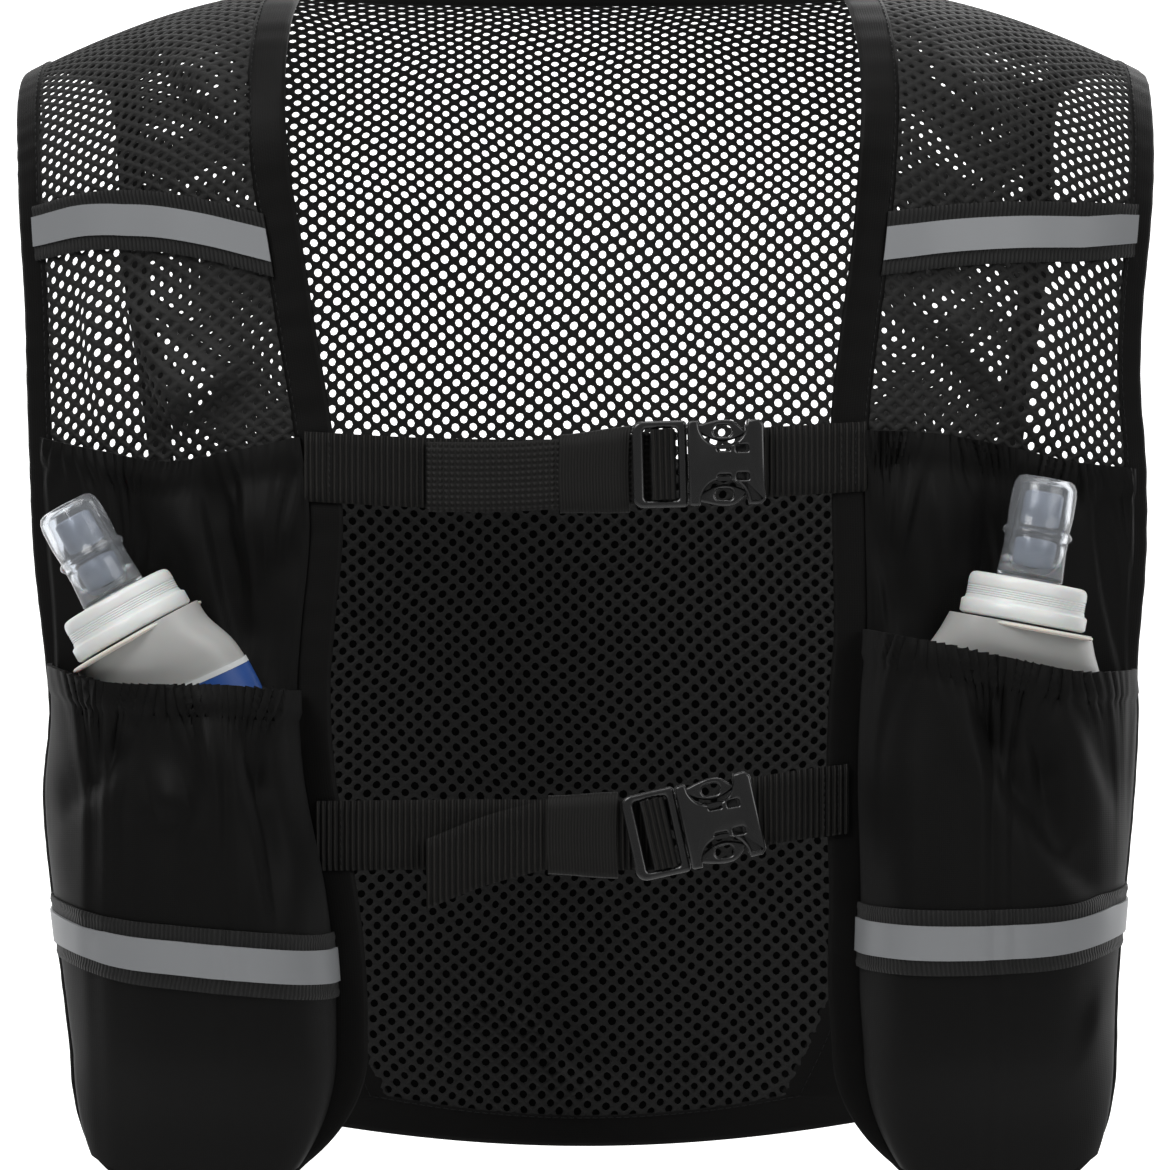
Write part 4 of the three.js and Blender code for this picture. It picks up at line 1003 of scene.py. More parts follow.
@dataclass(frozen=True)
class NetCloth:
    """Open net: staggered round holes, each in a diamond cell that shares its corners."""

    column: float = 0.00355
    pitch: float = 0.00605
    hole: float = 0.0030
    tall: float = 1.06
    wall: float = 0.001
    sides: int = 8

    def drawn(self, arc: Array, s: Array) -> tuple[Array, Array]:
        """Place of a lattice point once the net has been pulled about in wear.

        Slow sines of both distances shift it by up to 2 mm, and by nothing at the shoulder.

        Args:
            arc: distance round the chest on the even lattice.
            s: distance down the run on the even lattice.

        Returns:
            x and s.
        """
        fade = smooth(s, 0.0, 0.03)
        sideways = 0.0012 * np.sin(CIRCLE * (s / 0.115 + arc / 0.31))
        sideways = sideways + 0.0006 * np.sin(CIRCLE * (s / 0.043 - arc / 0.09))
        down = 0.0011 * np.sin(CIRCLE * (arc / 0.083 + s / 0.23))
        down = down + 0.0005 * np.sin(CIRCLE * (arc / 0.037 - s / 0.12))
        return FORM.x_of_arc(arc + fade * sideways), s + fade * down

    def build(
        self, name: str, facing: Facing, inside, span: tuple[float, float], lift, openness
    ) -> Obj:
        """Closed net over one stretch of the form.

        Corner points are thickest and the hole rims are thinner, as in a knitted net.

        Args:
            name: name of the piece.
            facing: front or back panel.
            inside: function of x and s that says where the net is.
            span: lowest and highest arc distance round the chest.
            lift: function of x and z that gives the height of the folds.
            openness: function of x and s that scales the holes.

        Returns:
            The new object; its custom value cell_area holds the outline's area.
        """
        half = self.pitch / 2
        first, last = int(span[0] / self.column), int(span[1] / self.column)
        rows = int(FORM.run / half) + 2
        i, m = np.meshgrid(np.arange(first, last + 1), np.arange(0, rows), indexing="ij")
        centre = (i + m) % 2 == 0
        x, s = FORM.x_of_arc(i * self.column), m * half
        keep = centre & inside(x, s)
        ci, cm = i[keep], m[keep]
        around = [(1, 0), (0, 1), (-1, 0), (0, -1)]
        width = rows + 4
        keys = np.stack([(ci + di - first + 1) * width + cm + dm + 1 for di, dm in around], -1)
        corners, index = np.unique(keys, return_inverse=True)
        index = index.reshape(keys.shape)
        kx, ks = self.drawn(
            (corners // width + first - 1) * self.column, np.maximum((corners % width - 1) * half, GAP)
        )
        angle = np.arange(self.sides) * 2 * math.pi / self.sides
        wobble = 1 + 0.05 * np.sin(ci * 12.9898 + cm * 78.233)
        wobble = (wobble * openness(x[keep], s[keep]))[:, None]
        hx, hs = self.drawn(
            (ci * self.column)[:, None] + self.hole / 2 * wobble * np.cos(angle),
            (cm * half)[:, None] + self.hole / 2 * self.tall * wobble * np.sin(angle),
        )
        layers = []
        for px, ps, level in ((kx, ks, 1.0), (hx, hs, 0.8), (hx, hs, 0.2), (kx, ks, 0.0)):
            share = ps / FORM.run
            z = FORM.point(px, share, facing)[..., 2]
            raised = level * self.wall + lift(px, z)
            layers.append(FORM.lifted(px, share, raised, facing).reshape(-1, 3))
        count, ring = len(corners), len(ci) * self.sides
        offset = np.cumsum([0, count, ring, ring])
        holes = np.arange(ring).reshape(-1, self.sides)
        step = self.sides // 4
        faces = []
        for top, rim, flip in ((0, 1, False), (3, 2, True)):
            for k in range(4):
                a, b = index[:, k] + offset[top], index[:, (k + 1) % 4] + offset[top]
                h = [holes[:, (k * step + j) % self.sides] + offset[rim] for j in range(step + 1)]
                middle = step // 2
                fan = [(a, h[j], h[j + 1]) for j in range(middle)]
                fan += [(a, h[middle], b)] + [(b, h[j], h[j + 1]) for j in range(middle, step)]
                tri = np.concatenate([np.stack(corner, -1) for corner in fan])
                faces.append(tri[:, ::-1] if flip else tri)
        turned = np.roll(holes, -1, axis=1)
        walls = [holes + offset[1], holes + offset[2], turned + offset[2], turned + offset[1]]
        faces.append(np.stack(walls, -1).reshape(-1, 4))
        a, b = index, np.roll(index, -1, axis=1)
        edge = np.sort(np.stack([a, b], -1).reshape(-1, 2), axis=1)
        _, where, uses = np.unique(edge, axis=0, return_inverse=True, return_counts=True)
        lone = uses[where.ravel()] == 1
        a, b = a.ravel()[lone], b.ravel()[lone]
        faces.append(np.stack([a, b, b + offset[3], a + offset[3]], -1))
        obj = mesh_object(name, np.concatenate(layers), faces)
        obj["cell_area"] = float(len(ci) * self.column * self.pitch)
        return obj


# -------------------------------------------------------------------------------- ribbons, bands


def cross_section(count: int, low: float, high: float, square: float = 10.0) -> tuple[Array, Array]:
    """Flat rounded section: place across from 0 to 1, and lift, once round.

    The two faces are middle plus and minus half the wall times the root of one minus a high power
    of the distance from the middle line.

    Args:
        count: points on each face.
        low: lift of the under face.
        high: lift of the upper face.
        square: the power; a high one gives square edges.

    Returns:
        Place across and lift of each point round the section.
    """
    v = 0.5 - 0.5 * np.cos(np.linspace(0, math.pi, count))
    rise = np.sqrt(np.maximum(1 - np.abs(2 * v - 1) ** square, 0)) * (high - low) / 2
    middle = (high + low) / 2
    upper, under = middle + rise, middle - rise
    across = np.concatenate([v, v[-2:0:-1]])
    return across, np.concatenate([upper, under[-2:0:-1]])


def band(
    name: str, outer: Array, inner: Array, facing: Facing, low: float, high: float, waves: float = 0.00012
) -> Obj:
    """Folded binding between two lines of the cloth plane.

    The rounded section is carried along, with slight uneven swellings where it was sewn.

    Args:
        name: name of the piece.
        outer: free edge, (n, 2) of x and s.
        inner: seam edge, the same size.
        facing: front or back.
        low: lift of the under face.
        high: lift of the upper face.
        waves: height of the swellings.

    Returns:
        The new object.
    """
    across, lift = cross_section(9, low, high)
    place = outer[:, None] + (inner - outer)[:, None] * across[None, :, None]
    length = arc_length((outer + inner) / 2)
    swell = 1 + waves / (high - low) * 2 * ripple(length, 0.013, len(name))
    rings = FORM.lifted(place[..., 0], place[..., 1] / FORM.run, lift[None] * swell[:, None], facing)
    width = np.linalg.norm(inner - outer, axis=-1)
    uv = np.stack([np.broadcast_to(length[:, None], rings.shape[:2]), across[None] * width[:, None]], -1)
    return tube(name, rings, uv)


def seam_line(outer: Array, inner: Array, share: float, lift: float, facing: Facing) -> tuple[Array, Array]:
    """Points and normals of a line on a band, a share of the way from its free edge to its seam."""
    place = outer + (inner - outer) * share
    x, along = place[:, 0], place[:, 1] / FORM.run
    return FORM.lifted(x, along, np.full(len(x), lift), facing), FORM.normal(x, along, facing)


def sewn_band(
    wardrobe: Wardrobe, node: str, stem: str, outer: Array, seam: Array,
    facing: Facing, low: float, high: float, at: float,
) -> None:
    """Binding with a row of stitches on its outside and one on its inside.

    Args:
        wardrobe: the finishes.
        node: the frame's node that the binding stands for.
        stem: start of the stitches' names.
        outer: free edge, (n, 2) of x and s.
        seam: seam edge, the same size.
        facing: front or back.
        low: lift of the under face.
        high: lift of the upper face.
        at: share of the way from the free edge to the seam at which it is sewn.
    """
    tape = band(f"{node}_tape", outer, seam, facing, low, high)
    wardrobe.dress(tape, wardrobe.binding, node)
    for where, lift, flip in (("", high, 1), ("_inside", low, -1)):
        line, normals = seam_line(outer, seam, at, lift, facing)
        wardrobe.sew(f"{stem}{where}_stitching", line, normals * flip)


def inset(line: Array, width: Array | float, towards: float) -> Array:
    """Line moved sideways in the cloth plane by a width, to the side where x grows with towards."""
    tangent = unit(np.gradient(line, axis=0))
    normal = np.stack([tangent[:, 1], -tangent[:, 0]], -1)
    first = normal[len(normal) // 4]
    sign = 1.0 if first[0] * towards > 0 else -1.0
    return line + normal * sign * np.asarray(width)[..., None]


# ------------------------------------------------------------------------------------ sub-assemblies


@dataclass
class BackPanel:
    """Net back with its bindings and the plain pocket behind it."""

    wardrobe: Wardrobe
    low: float = -0.0005
    high: float = 0.0016

    def build(self) -> None:
        """Makes and dresses every piece of the back."""
        self.net()
        self.edge_binding()
        self.neck()
        self.pocket()

    def net(self) -> None:
        """Net in an upper and a lower half, split where the pocket starts."""
        split = 0.245
        for part, low, high, flat in (
            ("upper", 0.0, split, (0.42, 0.245)),
            ("lower", split, 1.0, (0.36, 0.262)),
        ):
            obj = NetCloth().build(
                f"back_net_{part}",
                Facing.BACK,
                lambda x, s, a=low, b=high: BACK_CUT.inside(x, s, TUCK) & (s >= a) & (s < b),
                (-0.24, 0.24),
                lambda x, z: fold_lift(BACK_FOLDS, x, z) * (1 - smooth(-z, 0.408, 0.422)),
                lambda x, s: 1 - 0.25 * smooth(np.abs(x), 0.108, 0.128) * (1 - smooth(s, 0.20, 0.25)),
            )
            self.wardrobe.dress(obj, self.wardrobe.net, "back_net")

    def lines(self) -> tuple[Array, Array]:
        """Free edge and seam of the band round the back, from the right shoulder to the left."""
        share = np.linspace(0.0008, BACK_CUT.bottom - BACK_CUT.bottom_dip, 170)
        outer = np.stack([BACK_CUT.edge_half(share), share], -1)
        seam = np.stack([BACK_CUT.net_half(share), share], -1)
        turn = np.linspace(0, 1, 26)[1:]
        half, stops = FORM.half_width, (0, 0.3, 0.65, 1.0)
        corner = Curve(stops, (float(outer[-1, 0]), 0.735 * half, 0.66 * half, 0.55 * half))
        drop = Curve(stops, (float(outer[-1, 1]), 0.9605, 0.968, 0.973))
        c = np.linspace(1, 0, 60)[1:]
        hem = np.stack([c * 0.55 * half, BACK_CUT.hem(c, 0.973)], -1)
        inner_hem = np.stack([c * BACK_CUT.net_half(0.955), BACK_CUT.bottom - BACK_CUT.bottom_dip * c**2], -1)
        outer = np.concatenate([outer, np.stack([corner(turn), drop(turn)], -1), hem])
        seam = np.concatenate([seam, np.repeat(seam[-1:], len(turn), 0), inner_hem])
        scale = np.array([1, FORM.run])
        mirror = np.array([-1, 1])
        return (
            np.concatenate([outer, outer[-2::-1] * mirror]) * scale,
            np.concatenate([seam, seam[-2::-1] * mirror]) * scale,
        )

    def edge_binding(self) -> None:
        """Band down both arm edges and round the hem, with its row of stitches."""
        outer, seam = self.lines()
        levels = (self.low, self.high)
        sewn_band(self.wardrobe, "back_binding", "back_binding", outer, seam, Facing.BACK, *levels, 0.9)

    def neck(self) -> None:
        """Band along the back neckline."""
        turn = np.linspace(-math.pi / 2, math.pi / 2, 160)
        x = FORM.neck_half * np.sin(turn)
        outer = np.stack([x, np.full_like(x, 0.0002)], -1)
        reach = BACK_CUT.neck_seam / FORM.neck_half
        seam = np.stack([x * reach, BACK_CUT.top(x * reach * 0.999) * FORM.run + 0.0004], -1)
        obj = band("neck_binding_tape", outer, seam, Facing.BACK, self.low, self.high)
        self.wardrobe.dress(obj, self.wardrobe.binding, "neck_binding")
        line, normals = seam_line(outer[6:-6], seam[6:-6], 0.88, self.high, Facing.BACK)
        self.wardrobe.sew("neck_binding_stitching", line, normals)

    def pocket(self) -> None:
        """Opaque cloth over the lower back, sewn at its sides and hem, with a soft open top."""
        t, c = np.meshgrid(np.linspace(0, 1, 90), np.linspace(-1, 1, 110), indexing="ij")
        top = 0.469
        share = top + (BACK_CUT.hem(c, 0.967) - top) * t
        half = BACK_CUT.edge_half(share) - TUCK
        corner = 1 - 0.14 * np.maximum(t - 0.85, 0) / 0.15
        full = (1 - c**4) * (1 - t**6) * (0.7 + 0.3 * np.sin(math.pi * t))
        x = c * half * corner
        sag = 0.0012 * ripple(x + 0.15 * share, 0.05, 4) * (1 - c**4) * (1 - t**8)
        lift = 0.0022 + 0.014 * full + sag
        wall = 0.0008 + 0.0012 * (1 - smooth(t * 0.26, 0.010, 0.013))
        outer = FORM.lifted(x, share, lift + wall, Facing.BACK)
        inner = FORM.lifted(x, share, lift, Facing.BACK)
        uv = np.stack([x, share * FORM.run], -1)
        obj = slab("back_pocket_cloth", outer, inner, uv)
        self.wardrobe.dress(obj, self.wardrobe.cloth, "back_pocket")
        seam = (4, slice(3, -3))
        normals = FORM.normal(x[seam], share[seam], Facing.BACK)
        self.wardrobe.sew("back_pocket_stitching", outer[seam], normals)


@dataclass(frozen=True)
class FlaskSeat:
    """Where a flask sits and how it leans: cap foot x and drop, lean of cap, swing of the foot."""

    x: float
    drop: float
    lean: float
    foot: float
    sink: float
    length: float = 0.122
    # Cap radius, pocket lift, cloth, gathers and clearance
    stand: float = 0.0226 + 0.0022 + 0.001 + 0.003 + 0.0003
    settle: float = 0.006

    def middle(self, below: Array) -> tuple[Array, Array, Array]:
        """x, height and lean of the flask's middle line at a distance below the cap foot."""
        along = np.clip(np.asarray(below, float) / self.length, 0, 1)
        lean, foot = math.radians(self.lean), math.radians(self.foot)
        angle = lean + (foot - lean) * along * 0.5
        x = self.x * FORM.half_width - below * np.sin(angle)
        z = -self.drop * FORM.body_length - below * np.cos(angle)
        return x, z, lean + (foot - lean) * along

    def out(self, below: Array) -> Array:
        """How far the middle stands in front of the panel: less where the body thins."""
        return self.stand - self.sink - self.settle * smooth(below, 0, self.length / 3)

    def matrix(self, up: float) -> Matrix:
        """Place of the flask's neck at a height above the cap foot."""
        foot = np.array(0.0)
        x, z, angle = self.middle(foot)
        share = FORM.share_at(x, z, Facing.FRONT)
        seat = Vector(FORM.point(x, share, Facing.FRONT) - np.array([0, float(self.out(foot)), 0]))
        turned = Matrix.Translation(seat) @ Matrix.Rotation(float(angle), 4, "Y")
        return turned @ Matrix.Translation((0, 0, up))


SEATS = {
    Side.LEFT: FlaskSeat(-0.78, 0.536, -29, 8, 0.0002),
    Side.RIGHT: FlaskSeat(0.757, 0.5275, 10.2, 4, 0.0008),
}


@dataclass
class FrontPanel:
    """Front panel: net, bindings, the two gathered pockets and the reflective tapes."""

    cut: PanelCut
    wardrobe: Wardrobe
    fullness: float = 0.0475
    fullness_down: Curve = Curve(
        (0.48, 0.62, 0.72, 0.8, 0.88, 0.94, 1.0), (0.9, 0.96, 1.0, 0.98, 0.74, 0.36, 0.06)
    )
    low: float = -0.0005
    high: float = 0.0015
    pocket_lift: float = 0.0022
    flask_lift: float = 0.0039

    @property
    def label(self) -> str:
        """Side of this panel in words."""
        return self.cut.side.label

    def build(self) -> None:
        """Makes and dresses every piece of the panel."""
        self.net()
        self.bindings()
        self.upper_pocket()
        self.flask_pocket()
        self.tapes()

    def net(self) -> None:
        """Net of the whole panel."""
        sign = self.cut.side.value
        obj = NetCloth().build(
            f"{self.label}_front_net_cloth",
            Facing.FRONT,
            lambda x, s: self.cut.inside(x, s, INNER_WIDTH - TUCK, ARM_WIDTH - TUCK),
            (0.06, 0.26) if sign > 0 else (-0.26, -0.06),
            lambda x, z: fold_lift(FRONT_FOLDS[self.cut.side], x, z) * self.loose(x, z),
            lambda x, s: 0.90 - 0.22 * (1 - smooth(np.abs(x), 0.135, 0.165)),
        )
        self.wardrobe.dress(obj, self.wardrobe.net, f"{self.label}_front_net")
        f"{self.label}_inner_binding_tape"

    def loose(self, x: Array, z: Array) -> Array:
        """1 where the net hangs free, 0 under the chest tape, the pockets and beside the bindings."""
        taped = smooth(-z, 0.072, 0.082) * (1 - smooth(-z, 0.108, 0.124))
        edges = smooth(np.abs(x), 0.116, 0.132) * (1 - smooth(np.abs(x), 0.182, 0.196))
        return edges * (1 - taped) * (1 - smooth(-z, 0.160, 0.178))

    def bindings(self) -> None:
        """Wide binding down the opening and round the bottom, narrow one down the arm edge."""
        sign = self.cut.side.value
        for kind, opening, width in (("inner", True, INNER_WIDTH), ("armhole", False, ARM_WIDTH)):
            outer = self.cut.outline(opening)
            seam = inset(outer, width, sign if opening else -sign)
            stem = f"{self.label}_{kind}"
            levels = (self.low, self.high)
            sewn_band(self.wardrobe, f"{stem}_binding", stem, outer, seam, Facing.FRONT, *levels, 0.88)

    def gathers(self, across: Array, below: Array, seed: int) -> Array:
        """Height of the gathers under an elastic rim.

        Tight puckers at the rim, pinched by the casing's stitch line, spread into fewer, softer
        folds that fan out and fade further down.

        Args:
            across: distance along the rim.
            below: distance below the rim.
            seed: which gathers.

        Returns:
            Height in metres.
        """
        casing = 0.0098
        across = across + 0.30 * np.minimum(below, 0.045) * np.sin(CIRCLE * across / 0.047 + seed)
        tight = 0.0010 * ripple(across, 0.0033, seed) * np.exp(-np.maximum(below - casing, 0) / 0.007)
        spread = 0.0021 * ripple(across, 0.0085, seed + 1) * smooth(below, 0.004, 0.016)
        spread = spread * np.exp(-below / 0.022)
        wide = 0.0017 * ripple(across, 0.021, seed + 2) * smooth(below, 0.008, 0.030)
        wide = wide * np.exp(-below / 0.060)
        pinch = -0.0008 * np.exp(-(((below - casing) / 0.0012) ** 2))
        roll = 0.0007 * np.exp(-(((below - 0.004) / 0.004) ** 2))
        return tight + spread + wide + pinch + roll

    def grid(self, rim: Curve, rows: int, cols: int) -> tuple[Array, Array, Array, Array]:
        """Cloth grid from a rim to the bottom seam: k, x, share and distance below the rim."""
        t, k = np.meshgrid(np.linspace(0, 1, rows) ** 1.25, np.linspace(0, 1, cols), indexing="ij")
        x, share = self.cut.cover_row(k, rim, t)
        return k, x, share, (share - share[:1]) * FORM.run

    def upper_pocket(self) -> None:
        """Stretch cloth over the chest half, gathered along its top edge.

        The cloth bellies out beside the flask. The relief is eased towards a limit, so that it clears
        the net under it and the flask over it.
        """
        k, x, share, below = self.grid(self.cut.upper_rim, 120, 160)
        z = FORM.point(x, share, Facing.FRONT)[..., 2]
        sewn = np.minimum(smooth(k, 0.0, 0.05), smooth(1 - k, 0.0, 0.04))
        folds = fold_lift(UPPER_FOLDS[self.cut.side], x, z)
        relief = self.gathers(x, below, 10 + self.cut.side.value) + folds
        belly = 0.0034 * smooth(k, 0.01, 0.12) * (1 - smooth(k, 0.42, 0.58)) * smooth(below, 0.004, 0.03)
        reach = 0.0018 + 0.8 * belly
        relief = reach * np.tanh(relief / reach)
        lift = self.pocket_lift + 0.0010 + belly + (relief + 0.0004) * (0.25 + 0.75 * sewn)
        lift = lift - 0.0012 * (1 - smooth(np.minimum(k, 1 - k), 0.0, 0.03))
        wall = 0.0008 + 0.0010 * (1 - smooth(below, 0.009, 0.011))
        outer = FORM.lifted(x, share, lift + wall, Facing.FRONT)
        inner = FORM.lifted(x, share, lift, Facing.FRONT)
        obj = slab(f"{self.label}_upper_pocket_cloth", outer, inner, np.stack([x, share * FORM.run], -1))
        self.wardrobe.dress(obj, self.wardrobe.cloth, f"{self.label}_upper_pocket")
        f"{self.label}_front_net_cloth"

    def pocket_out(self, k: Array, x: Array, share: Array) -> Array:
        """How far the flask pocket stands forward: a steep rounded hump over the flask."""
        seat = SEATS[self.cut.side]
        height = FORM.point(x, share, Facing.FRONT)[..., 2]
        below = (-seat.drop * FORM.body_length - height) / math.cos(math.radians(seat.lean / 2))
        crest = seat.middle(np.clip(below, 0, seat.length))[0]
        start = self.cut.cover(np.zeros_like(k), share)[0]
        end = self.cut.cover(np.ones_like(k), share)[0]
        crest_k = np.clip((crest - start) / (end - start), 0.35, 0.62)
        off = np.where(k < crest_k, (crest_k - k) / crest_k, (k - crest_k) / (1 - crest_k))
        across = np.sqrt(np.maximum(1 - np.minimum(off, 1) ** 3.2, 0))
        return self.fullness * across * self.fullness_down(share)

    def flask_surface(self, k: Array, share: Array, top: Array) -> Array:
        """Points of the flask pocket's under face, with its gathers and folds set forward."""
        x, _ = self.cut.cover(k, share)
        return self.flask_points(k, x, share, (share - top) * FORM.run)

    def flask_points(self, k: Array, x: Array, share: Array, below: Array) -> Array:
        """Points of the pocket from places on the cloth and the distance below the rim."""
        z = FORM.point(x, share, Facing.FRONT)[..., 2]
        out = self.pocket_out(k, x, share)
        edge = np.minimum(smooth(k, 0.0, 0.06), smooth(1 - k, 0.0, 0.04))
        folds = FLASK_FOLD_SCALE * fold_lift(FLASK_FOLDS[self.cut.side], x, z)
        relief = self.gathers(x, below, 30 + self.cut.side.value) + folds
        lift = self.flask_lift - 0.0008 * (1 - smooth(np.minimum(k, 1 - k), 0.0, 0.02))
        points = FORM.lifted(x, share, lift, Facing.FRONT)
        points[..., 1] -= out + 0.0010 + (relief - 0.0005) * (0.2 + 0.8 * edge)
        return points

    def flask_pocket(self) -> None:
        """Gathered pocket round the flask, open at its rim."""
        k, x, share, below = self.grid(self.cut.flask_rim, 110, 170)
        inner = self.flask_points(k, x, share, below)
        wall = 0.0008 + 0.0011 * (1 - smooth(below, 0.009, 0.011))
        outer = inner + forward_normals(inner) * wall[..., None]
        obj = slab(f"{self.label}_flask_pocket_cloth", outer, inner, np.stack([x, share * FORM.run], -1))
        self.wardrobe.dress(obj, self.wardrobe.cloth, f"{self.label}_flask_pocket")
        f"{self.label}_upper_pocket_cloth"

    def tapes(self) -> None:
        """Reflective tape over the chest and over the flask pocket: backing and grey film."""
        for where, line, on_pocket in (
            ("chest", self.cut.chest_tape, False),
            ("pocket", self.cut.pocket_tape, True),
        ):
            for kind, width, inset_by, seat, finish in (
                ("backing", 0.023, 0.0, 0.0, self.wardrobe.backing),
                ("film", 0.012, 0.0055, 0.0008, self.wardrobe.silver),
            ):
                t, k = np.meshgrid(np.linspace(0, 1, 15), np.linspace(0, 1, 90), indexing="ij")
                start = self.cut.line_share(line, k)
                share = start + (inset_by + width * t) / FORM.run
                ridge = 0.0
                if kind == "backing":
                    ridge = 0.00035 * np.exp(-(((np.abs(t - 0.5) - 0.42) / 0.035) ** 2))
                if on_pocket:
                    rim = self.cut.line_share(self.cut.flask_rim, k)
                    base = self.flask_surface(k, share, rim)
                    step = forward_normals(base)
                    low = 0.0011 + seat
                else:
                    x, share = self.cut.cover(k, share)
                    lift = 0.0016 + 0.0006 * ripple(x, 0.035, 6)
                    base = FORM.lifted(x, share, lift, Facing.FRONT)
                    step = FORM.normal(x, share, Facing.FRONT)
                    low = 0.0004 + seat
                outer = base + step * np.asarray(low + 0.0008 + ridge)[..., None]
                inner = base + step * low
                uv = np.stack([arc_uv(base), (inset_by + width * t)], -1)
                obj = slab(f"{self.label}_{where}_tape_{kind}", outer, inner, uv)
                part = "base" if kind == "backing" else "silver"
                self.wardrobe.dress(obj, finish, f"{self.label}_{where}_tape_{part}")


def forward_normals(grid: Array) -> Array:
    """Normals of a grid of points, all turned to the front."""
    normal = unit(np.cross(np.gradient(grid, axis=1), np.gradient(grid, axis=0)))
    return normal * np.where(normal[..., 1:2] > 0, -1.0, 1.0)


def arc_uv(grid: Array) -> Array:
    """Distance along each row of a grid of points."""
    steps = np.linalg.norm(np.diff(grid, axis=1), axis=-1)
    return np.concatenate([np.zeros((len(grid), 1)), np.cumsum(steps, axis=1)], axis=1)


STRAP_LINES = {
    "top": Curve(
        (-0.488, -0.29, -0.058, 0.11, 0.31, 0.49), (0.4025, 0.4075, 0.409, 0.404, 0.3995, 0.3945)
    ),
    "bottom": Curve(
        (-0.468, -0.2, 0.08, 0.16, 0.3, 0.46), (0.699, 0.6975, 0.698, 0.696, 0.679, 0.669)
    ),
}
TAIL_ROWS = {
    "top": (
        Curve((-0.275, -0.16, -0.05), (0.06, 0.04, 0.0)),
        Curve((-0.275, -0.16, -0.05), (2.6, 2.55, 2.5)),
    ),
    "bottom": (
        Curve((-0.275, -0.17, -0.072), (0.55, 0.22, 0.0)),
        Curve((-0.275, -0.17, -0.072), (4.6, 3.6, 2.5)),
    ),
}


